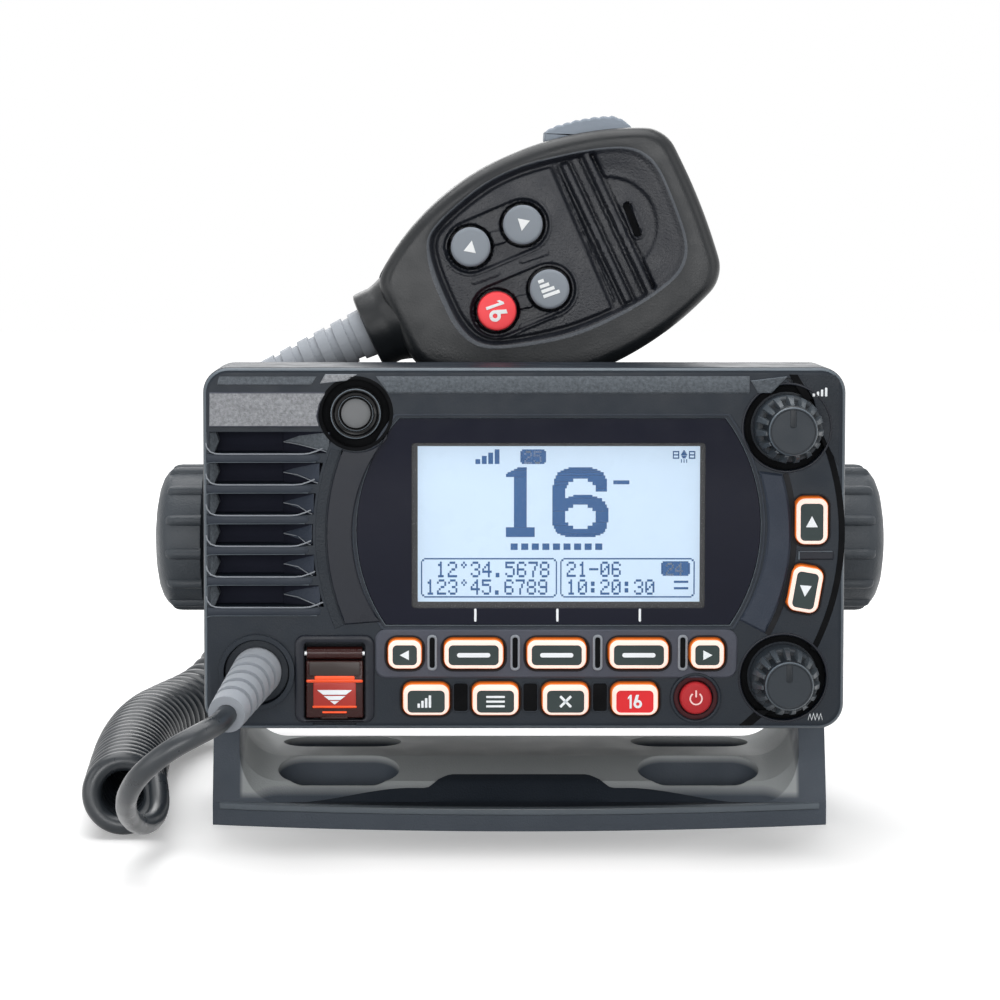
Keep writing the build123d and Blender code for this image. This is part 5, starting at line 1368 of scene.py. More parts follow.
# ------------------------------------------------------------------ front trims
@dataclass
class FrontTrim:
    """Raised and etched parts of the moulded front: brow, louvre fins, barrel bands and facets, with painted
    highlights on their lit edges and slopes and painted shade in their hollows.
    """

    fin_left: float = -74.0
    fin_pitch: float = 7.2
    fin_count: int = 6
    lowest_slot: float = 62.4
    slot_left: float = -56.5
    slot_floor: float = -6.4
    barrel: Flat = (8.2, 77.0)
    barrel_radius: float = 57.6
    lamp_at: Flat = (-39.3, 105.2)
    groove_at: Flat = (14.2, 77.0)
    crown_ends: Flat = (-31.6, 52.4)
    crown_taper: float = 0.75
    edge_profile: tuple[Flat, ...] = (
        (0.12, -1.25), (0.2, -0.82), (0.42, -0.42), (0.78, -0.12), (1.0, -0.35), (0.5, -1.2))
    crown_profile: tuple[Flat, ...] = (
        (109.9, -0.6), (109.9, 0.02), (110.25, 0.35), (111.2, 0.5), (112.6, 0.42), (113.6, 0.2),
        (114.0, -0.05), (114.0, -0.6))
    fin_profile: tuple[Flat, ...] = (
        (-1.0, -6.0), (-1.0, 0.15), (-0.8, 0.42), (-0.4, 0.55), (0.2, 0.6), (0.6, 0.56), (0.85, 0.4),
        (1.0, 0.1), (1.0, -6.0))
    lamp_profile: tuple[Flat, ...] = (
        (6.0, -1.9), (6.0, 0.55), (5.85, 0.8), (5.6, 0.9), (5.35, 0.82), (5.2, 0.55), (5.05, 0.1),
        (4.7, -0.25), (4.3, -0.35), (4.1, -0.1), (3.95, -0.05), (3.75, -0.15), (3.6, -0.6), (3.5, -1.9))
    lens_profile: tuple[Flat, ...] = ((3.45, -1.6), (3.45, -0.55), (3.2, -0.4), (2.4, -0.28), (1.2, -0.22))

    def arc_edge(self, up: float) -> float:
        """X of the barrel's left edge at a height."""
        return self.barrel[0] - math.sqrt(self.barrel_radius ** 2 - (up - self.barrel[1]) ** 2)

    def slots(self) -> list[float]:
        """Middle height of each louvre slot."""
        return [self.lowest_slot + at * self.fin_pitch for at in range(self.fin_count)]

    def edge_light(self) -> None:
        """Rounded outer edge of the front, with a painted highlight along it as a pale line."""
        mould = Mould("front_edge_painted_highlight")
        outline = rounded_box((0.0, 73.5), 150.0, 85.0, 6.0, steps=10)
        rings = [mould.ring(shrunk(outline, inset), out) for inset, out in self.edge_profile]
        mould.skin([*rings, rings[0]], [Kit.EDGE])
        mould.done("radio")

    def brow(self) -> None:
        """Slanted etched pad over the louvres, and the strip above it, painted pale as painted light on their
        up-facing slopes.
        """
        pad = Mould("brow")
        pad.sloped([(-73.4, 102.1), (-47.9, 102.1), (-48.2, 104.6), (-47.6, 107.4), (-46.4, 110.2),
                    (-73.4, 110.2)], [1.25, 1.25, 1.0, 0.7, 0.3, 0.3], Kit.ETCHED_PALE, Kit.ETCHED)
        pad.done("radio")
        strip = Mould("top_strip")
        strip.sloped([(-71.6, 111.9), (-49.6, 111.9), (-48.2, 114.3), (-71.0, 114.3)],
                     [0.3, 0.3, -0.05, -0.05], Kit.ETCHED_MID, None, -0.8, 0.15)
        strip.sloped([(-47.6, 112.2), (-41.4, 112.9), (-39.0, 114.4), (-46.4, 114.4)],
                     [0.45, 0.45, 0.15, 0.15], Kit.ETCHED_PALE, Kit.SHARP, -0.8, 0.15)
        strip.done("radio")

    def crowned_strip(self) -> None:
        """Crowned strip over the display, whose upper edge runs in towards the left, painted paler on its
        faces as painted light.
        """
        mould = Mould("crowned_strip")
        left, right = self.crown_ends
        low, steps = self.crown_profile[0][0], 21
        rings = []
        for at in (left + (right - left) * step / steps for step in range(steps + 1)):
            taper = self.crown_taper * (right - at) / (right - left)
            rings.append([mould.facing.spot(at - taper * (up - low), up, out)
                          for up, out in self.crown_profile])
        mould.loft(rings, Kit.ETCHED_MID, Kit.ETCHED)
        mould.done("radio")

    def fins(self) -> None:
        """Rounded fins below the louvre slots, and painted highlight lines along their edges."""
        mould = Mould("louvre_fins")
        lines = Mould("louvre_fin_highlights")
        for slot in self.slots():
            middle = slot - self.fin_pitch / 2
            end = self.arc_edge(middle) - 0.6
            stations = ((self.fin_left, 1.0, 0.0), (end - 3.2, 1.0, 0.0), (end - 1.6, 0.93, -0.12),
                        (end - 0.6, 0.8, -0.45), (end, 0.55, -1.2))
            rings = [[mould.facing.spot(across, middle + up * scale, out + drop)
                      for up, out in self.fin_profile] for across, scale, drop in stations]
            mould.loft(rings, Kit.ETCHED_FINE)
            top, low = middle + 0.95, middle - 0.98
            lines.bead([(-74.3, top + 2.6, 0.1), (-74.0, top + 1.5, 0.2), (-73.2, top + 0.5, 0.35),
                        (-72.0, top + 0.08, 0.42), (-70.5, top, 0.45), (end - 4.6, top, 0.45),
                        (end - 3.0, top + 0.15, 0.42), (end - 1.4, top + 0.65, 0.2),
                        (end + 0.1, top + 1.25, -0.1)], 0.34, Kit.SHARP)
            lines.bead([(-74.3, low - 0.5, 0.05), (-73.6, low - 0.1, 0.15), (-72.6, low, 0.2),
                        (end - 1.4, low + 0.05, 0.15)], 0.26, Kit.EDGE)
        mould.done("radio")
        lines.done("radio")

    def ramps(self) -> None:
        """The ramps at both ends of each louvre slot, with a painted highlight line on the right one, the top
        slot's ramp painted paler as painted light, and a dark plate in each slot as painted shade.
        """
        mould = Mould("louvre_ramps")
        left, floor, half = self.slot_left, self.slot_floor, self.fin_pitch / 2 - 1.02
        for index, middle in enumerate(self.slots()):
            end, low, high = self.arc_edge(middle), middle - half, middle + half
            # painted light: the top slot's ramp takes a paler finish
            finish = Kit.ETCHED_MID if index == self.fin_count - 1 else Kit.ETCHED_SLATE
            mould.sloped([(left, middle - 0.1), (end - 0.2, low + 0.4), (end - 0.2, high - 0.2),
                          (-51.0, high - 0.6)], [-4.6, -0.5, -0.05, -3.2], finish, Kit.EDGE, floor, 0.05)
            mould.bead([(left + 0.1, middle - 0.1, -4.3), (-53.0, middle - 0.55, -2.6),
                        (end - 1.6, low + 0.62, -0.6), (end - 0.5, low + 0.2, -0.25)], 0.22, Kit.SHARP)
            mould.sloped([(-74.2, low + 0.4), (-72.4, low + 0.2), (-71.4, middle + 0.2), (-72.2, high - 0.1),
                          (-74.2, high - 0.1)], [0.1, -1.2, -2.6, -2.2, 0.1], Kit.ETCHED_MID, None,
                         floor, 0.05)
            # painted shade: a dark sloped plate down each slot
            mould.sloped([(left, low), (end, low), (end, high - 0.2), (left, high - 0.2)],
                         [-6.2, -0.9, -0.1, -5.2], Kit.CLOTH, None, floor - 0.5, 0.05)
        mould.done("radio")

    def slot_shade(self) -> None:
        """Near-black plates at the back of each louvre slot, as painted shade."""
        mould = Mould("louvre_back_shade")
        for middle in self.slots():
            mould.plate(rounded_box((-63.6, middle), 20.2, 4.9, 0.5), -6.95, -6.6, Kit.CLOTH)
        mould.done("radio")

    def barrel_bands(self) -> None:
        """Raised bands to the left and right of the lens."""
        mould = Mould("barrel_bands")
        left = [*arc_points(self.barrel, 54.4, 158.6, 203.0, 28),
                *three_point_arc((-33.6, 56.4), (-40.1, 79.0), (-33.2, 98.0), 28),
                *arc_points(self.lamp_at, 9.0, -32.0, -111.0, 12)]
        mould.crown(left, -0.3, 0.6, 0.3, Kit.SMOOTH)
        right = [*arc_points(self.groove_at, 48.1, -29.0, 17.0, 28),
                 *three_point_arc((54.6, 91.8), (56.8, 79.0), (50.3, 56.8), 28)]
        mould.crown(right, -0.3, 0.55, 0.5, Kit.ETCHED_SLATE)
        mould.done("radio")

    def lens_rim(self) -> None:
        """The lens's own rim, in two steps."""
        mould = Mould("lens_rim")
        lens = Display()
        mould.frame(lens.outline(-0.95), lens.outline(-0.45), -0.3, 0.16, Kit.ETCHED_FINE, 0.12)
        # painted highlight on the rim's outer step
        mould.frame(lens.outline(-0.3), lens.outline(0.1), -0.4, -0.06, Kit.EDGE, 0.1)
        mould.done("radio")

    def grooves(self) -> None:
        """Arcs painted dark as the shade in the grooves that set the bands off: one on the left and two on
        the right.
        """
        mould = Mould("barrel_groove_shade")
        mould.crown([*arc_points(self.barrel, 57.0, 159.5, 203.0, 28),
                     *arc_points(self.barrel, 54.6, 203.0, 159.0, 28)], -0.25, 0.1, 0.08, Kit.ETCHED_DARK)
        for inner, outer, low, high, out, finish in ((48.2, 49.5, -29.0, 17.0, 0.06, Kit.WELL),
                                                     (59.3, 60.7, -27.0, 23.4, 0.04, Kit.DEEP)):
            mould.crown([*arc_points(self.groove_at, outer, low, high, 28),
                         *arc_points(self.groove_at, inner, high, low, 28)], -0.25, out, 0.02, finish)
        mould.done("radio")

    def facets(self) -> None:
        """Small bevelled facets and notches round the knobs, and the bar between the two channel keys; the
        paler facet and the bar's pale edges are painted light, and the notches are painted shade.
        """
        mould = Mould("corner_facets")
        mould.sloped([(54.4, 110.0), (57.6, 110.0), (61.2, 113.9), (52.7, 112.9)], [0.35, 0.35, 0.5, 0.5],
                     Kit.ETCHED_MID, Kit.EDGE, edge=0.15)
        mould.sloped([(69.5, 100.0), (73.4, 93.0), (73.4, 113.0), (72.4, 114.2), (63.9, 114.3),
                      (67.3, 108.6)], [0.12, 0.12, 0.1, 0.06, 0.06, 0.12], Kit.ETCHED_DARK, edge=0.12)
        for notch in ([(61.6, 114.3), (63.6, 114.3), (67.0, 108.7), (65.5, 107.9)],
                      [(54.3, 35.5), (57.8, 35.6), (53.4, 31.9), (50.4, 31.9)]):
            mould.crown(notch, -0.4, 0.07, 0.02, Kit.DEEP)
        mould.crown(rounded_box((68.2, 72.0), 8.2, 2.0, 0.4), -0.3, 0.4, 0.25, Kit.SMOOTH)
        for middle, width, height in (((64.2, 72.0), 0.4, 2.0), ((68.2, 72.95), 7.6, 0.25)):
            mould.crown(rounded_box(middle, width, height, 0.1), -0.3, 0.48, 0.1, Kit.EDGE)
        mould.done("radio")

    def marks(self) -> None:
        """Small plain signs beside the two knobs: rising bars and a wave."""
        mould = Mould("knob_signs")
        for index in range(4):
            tall = 0.7 + index * 0.45
            bar = rounded_box((67.4 + index * 0.95, 109.2 + tall / 2), 0.55, tall, 0.1, steps=2)
            mould.plate(bar, 0.1, 0.2, Kit.LEGEND)
        wave = [(66.6 + i * 0.42, 34.2 + (0.75 if i % 2 else -0.75)) for i in range(9)]
        mould.plate([*wave, *((u, v - 0.42) for u, v in reversed(wave))], -0.05, 0.06, Kit.LEGEND)
        mould.done("radio")

    def lamp(self) -> None:
        """Dish painted dark as shade, glossy stepped ring with two painted highlight bands, and smoked lens
        of the status lamp.
        """
        dish = Mould("lamp_dish_shade")
        dish.washer(self.lamp_at, (8.75, 7.9), -1.95, 0.3, Kit.DEEP, 0.2)
        dish.washer(self.lamp_at, (7.9, 6.1), -1.95, -1.4, Kit.DEEP, 0.05)
        dish.done("radio")
        ring = Mould("lamp_ring_turned")
        rings = [ring.ring(round_outline(self.lamp_at, radius, 72), out) for radius, out in self.lamp_profile]
        painted_highlight_bands = (2, 9)
        ring.skin([*rings, rings[0]], [Kit.EDGE if at in painted_highlight_bands else Kit.LAMP_RING for at in range(11)])
        ring.done("radio", "lamp_ring")
        lens = Mould("lamp_dome")
        lens.solid([(round_outline(self.lamp_at, radius, 56), out) for radius, out in self.lens_profile],
                   [Kit.LAMP_LENS])
        lens.done("radio", "lamp_lens")

    def build(self) -> None:
        """Make the trims."""
        for make in (self.edge_light, self.brow, self.crowned_strip, self.fins, self.ramps, self.slot_shade,
                     self.barrel_bands, self.lens_rim, self.grooves, self.facets, self.marks, self.lamp):
            make()


@dataclass
class DistressKey:
    """The flip cover over the red key, its frame and the signs on it."""

    left: float = -51.4
    right: float = -37.3
    low: float = 33.4
    high: float = 51.3
    knuckle: Flat = (48.9, -1.0)
    knuckle_radius: float = 1.5
    arrow_slope: float = 0.62

    @property
    def middle(self) -> float:
        """X of its middle."""
        return (self.left + self.right) / 2

    @property
    def half(self) -> float:
        """Half of the cover's width."""
        return (self.right - self.left) / 2 - 0.35

    def frame_piece(self) -> None:
        """Raised moulded frame round the cover, its inside painted dark as shade."""
        mould = Mould("cover_frame")
        up = (self.low + self.high) / 2 + 0.6
        outer = rounded_box((self.middle, up), 18.6, 20.6, 2.2)
        inner = rounded_box((self.middle, up - 0.5), 14.2, 18.1, 0.9)
        mould.frame(outer, inner, -0.6, 0.9, Kit.SMOOTH, 0.45, Kit.WELL)
        mould.done("radio")

    def field(self, mould: Mould, low: float, high: float, inset: float, front: float, finish: Kit,
              back: float = 0.2, edge: float = 0.2) -> None:
        """One plate across the cover.

        Args:
            mould: the piece that it goes into.
            low: its lower edge.
            high: its upper edge.
            inset: how much it stays back from the cover's sides.
            front: height of its front.
            finish: its finish.
            back: height of its back.
            edge: radius of its front edge.
        """
        box = rounded_box((self.middle, (low + high) / 2), 2 * (self.half - inset), high - low, 0.35, steps=3)
        mould.plate(box, back, front, finish, edge)

    def cover(self) -> None:
        """Clear red cover: knuckle, dark printed field, lit bands, arrow field and pull lip."""
        mould = Mould("flip_cover")
        self.field(mould, self.low + 0.35, 47.2, 0.0, 0.3, Kit.COVER, -1.0, 0.3)
        up, out = self.knuckle
        ends = (self.middle - self.half + 0.2, self.middle + self.half - 0.2)
        mould.loft([[mould.facing.spot(across, up + self.knuckle_radius * math.cos(a),
                                       out + self.knuckle_radius * math.sin(a)) for a in angles(20)]
                    for across in ends], Kit.COVER)
        for low, high, inset, front, finish in (
                (43.7, 47.0, 0.7, 0.42, Kit.COVER_DARK), (42.75, 43.65, 2.0, 0.5, Kit.COVER_LIT),
                (42.1, 42.8, 0.05, 0.4, Kit.COVER_LIT), (36.6, 42.1, 1.7, 0.44, Kit.COVER_FIELD),
                (36.1, 36.65, 1.5, 0.5, Kit.COVER_LIT), (33.5, 34.05, 3.6, 0.9, Kit.COVER_EDGE),
                (34.9, 35.3, 3.8, 0.8, Kit.COVER_LIT)):
            self.field(mould, low, high, inset, front, finish)
        for low, high, wide in ((39.25, 40.35, 8.2), (38.0, 38.95, 5.1), (37.0, 37.75, 2.1)):
            top, foot = wide / 2, max(wide - 2 * (high - low) / self.arrow_slope * 0.8, 0.05) / 2
            bar = [(-foot, low), (foot, low), (top, high), (-top, high)]
            mould.plate([(self.middle + across, up) for across, up in bar], 0.3, 0.52, Kit.LEGEND)
        mould.done("distress_cover", "distress_cover")

    def build(self) -> None:
        """Make the frame and the cover."""
        self.frame_piece()
        self.cover()


# ------------------------------------------------------------------ repeats
class Repeat:
    """Copies a small mesh around an axis with Geometry Nodes, and makes it one mesh."""

    TREE = "repeat_around"

    def tree(self) -> Tree:
        """The node tree, built at its first use.

        Returns:
            A tree whose inputs are the count, the turn, the place and the finish.
        """
        known = bpy.data.node_groups.get(self.TREE)
        if known is not None:
            return known
        made = bpy.data.node_groups.new(self.TREE, "GeometryNodeTree")
        for name, kind in (("Geometry", "Geometry"), ("Count", "Int"), ("Turn", "Vector"),
                           ("Place", "Vector"), ("Finish", "Material")):
            made.interface.new_socket(name, in_out="INPUT", socket_type="NodeSocket" + kind)
        made.interface.new_socket("Geometry", in_out="OUTPUT", socket_type="NodeSocketGeometry")
        given = add_node(made, "NodeGroupInput").outputs
        spots = add_node(made, "GeometryNodeMeshLine", {"mode": "OFFSET"}, {
            "Count": given["Count"], "Offset": (0.0, 0.0, 0.0)})
        index = add_node(made, "GeometryNodeInputIndex").outputs["Index"]
        turn = add_node(made, "ShaderNodeVectorMath", {"operation": "SCALE"}, {
            0: given["Turn"], "Scale": index})
        copies = add_node(made, "GeometryNodeInstanceOnPoints", inputs={
            "Points": spots.outputs["Mesh"], "Instance": given["Geometry"],
            "Rotation": turn.outputs["Vector"]})
        moved = add_node(made, "GeometryNodeTransform", inputs={
            "Geometry": copies.outputs["Instances"], "Translation": given["Place"]})
        real = add_node(made, "GeometryNodeRealizeInstances", inputs={"Geometry": moved.outputs["Geometry"]})
        last = add_node(made, "GeometryNodeSetMaterial", inputs={
            "Geometry": real.outputs["Geometry"], "Material": given["Finish"]})
        add_node(made, "NodeGroupOutput", inputs={"Geometry": last.outputs["Geometry"]})
        return made

    def build(self, name: str, unit: EditMesh, finish: Kit, body: str, count: int, place: Point,
              axis: Point) -> Piece:
        """Repeat a unit and put the result on its body.

        Args:
            name: the piece's name.
            unit: the mesh to copy, in metres about its own origin; it is used up.
            finish: the finish of every copy.
            body: the body that the piece rides on.
            count: how many copies go all the way around.
            place: where the axis passes, in millimetres.
            axis: the axis, as a unit vector along X, Y or Z.

        Returns:
            The finished piece.
        """
        bmesh.ops.recalc_face_normals(unit, faces=unit.faces)
        source = bpy.data.meshes.new(name + "_unit")
        unit.to_mesh(source)
        unit.free()
        carrier = new_object(name + "_unit", source)
        modifier = carrier.modifiers.new("repeat", "NODES")
        modifier.node_group = self.tree()
        values = {"Count": count, "Turn": [math.radians(360.0 / count * c) for c in axis],
                  "Place": [c * MM for c in place], "Finish": finish.value.material()}
        for item in modifier.node_group.interface.items_tree:
            if item.in_out == "INPUT" and item.name in values:
                modifier[item.identifier] = values[item.name]
        bpy.context.view_layer.update()
        mesh = bpy.data.meshes.new_from_object(carrier.evaluated_get(bpy.context.evaluated_depsgraph_get()))
        bpy.data.objects.remove(carrier)
        bpy.data.meshes.remove(source)
        mesh.name = name
        return placed(name, mesh, [finish], body)


def lofted(rings: Sequence[Sequence[Point]], closed: bool = False) -> EditMesh:
    """A closed skin through rings of equal count, in metres.

    Args:
        rings: rings of points in millimetres.
        closed: whether the last ring joins the first, as in a torus, rather than being capped.

    Returns:
        The mesh.
    """
    mesh = bmesh.new()
    made = [[mesh.verts.new(Vector(point) * MM) for point in ring] for ring in rings]
    pairs = list(zip(made, made[1:])) + ([(made[-1], made[0])] if closed else [])
    for low, high in pairs:
        for at in range(len(low)):
            after = (at + 1) % len(low)
            mesh.faces.new((low[at], low[after], high[after], high[at]))
    if not closed:
        mesh.faces.new(list(reversed(made[0])))
        mesh.faces.new(made[-1])
    return mesh


# ------------------------------------------------------------------ knobs
@dataclass
class ControlKnobs:
    """The two control knobs: a stepped, turned body with teeth round its skirt painted paler as painted
    highlight, in a dish painted dark as shade.
    """

    places: tuple[tuple[str, str, Flat], ...] = (
        ("volume_control", "volume_knob", (61.2, 101.9)), ("squelch_control", "squelch_knob", (60.7, 43.2)))
    teeth: int = 15
    profile: tuple[Flat, ...] = (
        (6.9, -0.9), (7.75, -0.9), (7.8, 3.6), (7.7, 4.6), (7.3, 5.2), (6.9, 5.4), (6.3, 5.6), (5.8, 10.9),
        (5.75, 11.9), (5.6, 12.4), (5.35, 12.72), (5.1, 12.8), (4.95, 12.62), (3.0, 12.6), (1.0, 12.6))
    tooth_stations: tuple[tuple[float, float, float, float], ...] = (
        (4.6, 1.05, 5.4, 7.8), (6.2, 1.0, 5.4, 7.8), (8.8, 0.8, 5.3, 7.1), (11.0, 0.6, 5.3, 6.1))

    def turned_body(self, body: str, node: str, middle: Flat) -> None:
        """The turned body with a painted highlight on its cap edge, and its pointer.

        Args:
            body: the body that it rides on.
            node: the node that it stands for.
            middle: its axis on the front.
        """
        mould = Mould(node + "_turned")
        # painted highlight: a pale band on the cap's edge
        finishes = [Kit.KNOB] * 5 + [Kit.KNOB_EDGE] * 4 + [Kit.EDGE, Kit.KNOB, Kit.KNOB_EDGE, Kit.KNOB]
        mould.solid([(round_outline(middle, radius, 72), out) for radius, out in self.profile], finishes)
        for up, width, height, corner, low, high, edge in ((3.1, 1.35, 4.4, 0.5, 12.4, 12.74, 0.1),
                                                           (6.9, 1.3, 1.5, 0.3, 5.0, 7.2, 0.2)):
            pointer = rounded_box((middle[0], middle[1] + up), width, height, corner)
            mould.plate(pointer, low, high, Kit.KNOB_EDGE, edge)
        mould.done(body, node)

    def tooth(self) -> EditMesh:
        """One tooth, standing on the skirt's shoulder beside the axis."""
        return lofted([[(-half, -out, near), (-half * 0.7, -out, far), (half * 0.7, -out, far),
                        (half, -out, near)] for out, half, near, far in self.tooth_stations])

    def build(self) -> None:
        """Make the knobs, their teeth and their dishes."""
        for body, node, middle in self.places:
            self.turned_body(body, node, middle)
            Repeat().build(node + "_teeth", self.tooth(), Kit.KNOB_TOOTH, body, self.teeth,
                           (middle[0], FRONT_Y, middle[1]), (0.0, 1.0, 0.0))
            dish = Mould(body + "_dish")
            dish.washer(middle, (10.6, 10.0), -1.0, 0.22, Kit.SMOOTH, 0.2, 64)
            # painted shade: the dark inner step of the dish
            dish.washer(middle, (9.95, 8.3), -1.95, -1.6, Kit.DEEP, 0.1, 64)
            dish.done("radio")


@dataclass
class GimbalKnobs:
    """The two clamping knobs at the sides: a domed, etched drum with rounded bars along it."""

    bars: int = 13
    axis: Flat = (-14.0, 71.0)
    first_bar_deg: float = 20.0
    drum: float = 17.3
    bar_foot: float = 16.6
    bar_top: float = 18.4
    bar_half: float = 1.5
    dome: tuple[Flat, ...] = (
        (4.2, 17.0), (3.2, 16.3), (2.2, 14.9), (1.3, 12.6), (0.6, 9.0), (0.15, 5.0), (0.02, 1.5))
    bar_end: tuple[Flat, ...] = ((6.4, 1.0), (5.2, 0.93), (4.4, 0.75), (3.9, 0.45), (3.7, 0.12))

    def build(self) -> None:
        """Make a drum and its bars on each side."""
        for side, word in ((-1, "left"), (1, "right")):
            low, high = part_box("gimbal_knob_" + word)
            reach = sorted((abs(low[0]) / MM, abs(high[0]) / MM))
            self.turned_drum(side, word, reach)
            Repeat().build(word + "_knob_bars", self.bar(side, reach), Kit.KNOB_ETCHED, word + "_clamp",
                           self.bars, (0.0, *self.axis), (1.0, 0.0, 0.0))

    def turned_drum(self, side: int, word: str, reach: Sequence[float]) -> None:
        """The drum with its domed outer face.

        Args:
            side: -1 for the left one and 1 for the right one.
            word: the side's name.
            reach: distance of its inner and its outer face from the middle.
        """
        near, far = reach
        profile = ((near, 6.0), (near, 16.6), (near + 0.4, self.drum), (far - 5.6, self.drum),
                   *((far - inward, radius) for inward, radius in self.dome))
        mesh = lofted([[(side * at, self.axis[0] + r * math.cos(a), self.axis[1] + r * math.sin(a))
                        for a in angles(72)] for at, r in profile])
        Mould.holding(word + "_knob_drum", mesh, Kit.KNOB_ETCHED).done(word + "_clamp", "gimbal_knob_" + word)

    def bar(self, side: int, reach: Sequence[float]) -> EditMesh:
        """One rounded bar along the drum, turned to the first place around it.

        Args:
            side: -1 for the left one and 1 for the right one.
            reach: distance of the drum's inner and outer face from the middle.

        Returns:
            The bar's mesh about the axis.
        """
        near, far = reach
        angle = math.radians(self.first_bar_deg)
        rings = []
        for at, share in ((near + 0.2, 1.0), *((far - inward, share) for inward, share in self.bar_end)):
            half, rise = self.bar_half * (0.4 + 0.6 * share), (self.bar_top - self.bar_foot) * share
            ring = []
            for turn in (math.pi * step / 8 for step in range(9)):
                across, up = half * math.cos(turn), self.bar_foot + rise * math.sin(turn)
                ring.append((side * at, -up * math.cos(angle) + across * math.sin(angle),
                             up * math.sin(angle) + across * math.cos(angle)))
            rings.append(ring)
        return lofted(rings)


# ------------------------------------------------------------------ palm microphone
@dataclass
class Handset:
    """The palm microphone: a moulded front with a sunk panel, ribs, a speaking dish and four keys."""

    middle: Flat = (0.0, -3.0)
    rim: float = 12.0
    edge: float = 3.4
    edge_depth: float = 1.15
    floor: float = 10.0
    panel: float = 10.95
    split: float = 8.9
    crown: float = 0.15
    around: int = 420
    inner_rings: int = 84
    edge_steps: int = 8
    key_radius: float = 4.85
    key_rise: float = 1.5
    key_well: Point = (0.5, 0.8, 3.6)
    talk_bar: Flat = (10.6, 32.8)
    talk_bar_top: float = 5.8
    talk_base: float = 15.5
    scallop: Point = (0.34, 12.0, 2.25)
    shape: tuple[Flat, ...] = (
        (-41.5, 10.5), (-24, 20.9), (0, 25.4), (17.6, 23.4), (35.2, 17.2), (38.4, 13.6), (39.3, 9),
        (39.3, -5), (38, -18.5), (36.2, -23.3), (32, -26.4), (16, -31), (0, -32.2), (-24, -25.6),
        (-41.5, -11.5))
    lip: tuple[Flat, ...] = (
        (-25.6, 15.0), (-22.2, 17.2), (-16.9, 19.1), (-9.0, 21.2), (-3.2, 21.8), (3.0, 21.6), (8.7, 20.7),
        (20.0, 18.2), (28.0, 15.3), (31.5, 12.1), (33.3, 7.8), (33.4, 2.3), (32.8, -8.1), (31.7, -13.8),
        (28.3, -17.9), (23.1, -19.8), (14.3, -21.4), (1.6, -21.8), (-7.0, -20.6), (-15.4, -18.3),
        (-23.0, -15.7), (-26.3, -12.1), (-27.7, -7.0), (-27.9, -2.0), (-27.7, 5.3), (-27.0, 10.7))
    talk_crest: tuple[Flat, ...] = (
        (11.0, 20.0), (11.0, 25.2), (11.9, 26.9), (14.6, 27.1), (20.2, 26.2), (24.6, 25.0), (28.6, 23.5),
        (30.6, 21.8), (31.7, 19.6), (32.4, 15.6))
    neck: tuple[Flat, ...] = (
        (-38.0, 6.4), (-48.2, 6.4), (-48.55, 6.8), (-48.6, 9.0), (-48.3, 9.6), (-47.8, 9.85), (-44.0, 9.85),
        (-42.4, 10.3), (-40.8, 10.9), (-39.2, 11.3), (-38.0, 11.2))
    keys: tuple[tuple[str, Flat], ...] = (
        ("mic_key_down", (-16.6, 8.7)), ("mic_key_up", (-2.7, 8.3)),
        ("mic_key_calling_channel", (-17.3, -8.3)), ("mic_key_output_power", (-3.3, -8.8)))
    ribs: Flat = (12.9, 18.7)
    slot: tuple[Flat, Flat] = ((22.5, 1.6), (22.1, -5.4))
    dish: Flat = (16.2, -0.8)
    dish_ring: Flat = (11.6, 12.5)
    bars: tuple[tuple[Flat, Flat], ...] = (
        ((-19.3, 0.6), (-13.4, 0.1)), ((-6.5, 0.3), (-0.3, -0.3)), ((-13.4, -14.5), (-4.8, -14.9)))

    def outline(self) -> list[Flat]:
        """The palm shape with eased corners, anticlockwise.

        Returns:
            Points about half a millimetre apart.
        """
        dense: list[Flat] = []
        for at in range(0, len(self.shape) - 2, 2):
            dense += three_point_arc(*self.shape[at:at + 3], 60)[:-1]
        return self.softened(dense + stretch(self.shape[-1], self.shape[0], 40), 4)[::-1]

    def softened(self, points: Sequence[Flat], rounds: int) -> list[Flat]:
        """Round the corners of a closed run of points by averaging each with three neighbours on both sides.

        Args:
            points: the run.
            rounds: how often it is averaged.

        Returns:
            As many points.
        """
        found = list(points)
        for _ in range(rounds):
            total = len(found)
            near = [[found[(at + k) % total] for k in range(-3, 4)] for at in range(total)]
            found = [(sum(u for u, _ in group) / 7, sum(v for _, v in group) / 7) for group in near]
        return found

    def reach(self, points: Sequence[Flat]) -> list[float]:
        """Distance from the middle to a closed outline in each of the directions around.

        Args:
            points: the outline.

        Returns:
            One distance for each direction.
        """
        found = []
        spans = [(a[0] - self.middle[0], a[1] - self.middle[1], b[0] - a[0], b[1] - a[1])
                 for a, b in zip(points, [*points[1:], points[0]])]
        for angle in angles(self.around):
            east, north = math.cos(angle), math.sin(angle)
            best = 0.0
            for ax, ay, bx, by in spans:
                cross = east * by - north * bx
                if abs(cross) < 1e-9:
                    continue
                along = (ax * by - ay * bx) / cross
                share = (ax * north - ay * east) / cross
                if -1e-6 <= share <= 1.000001 and along > best:
                    best = along
            found.append(best)
        return found

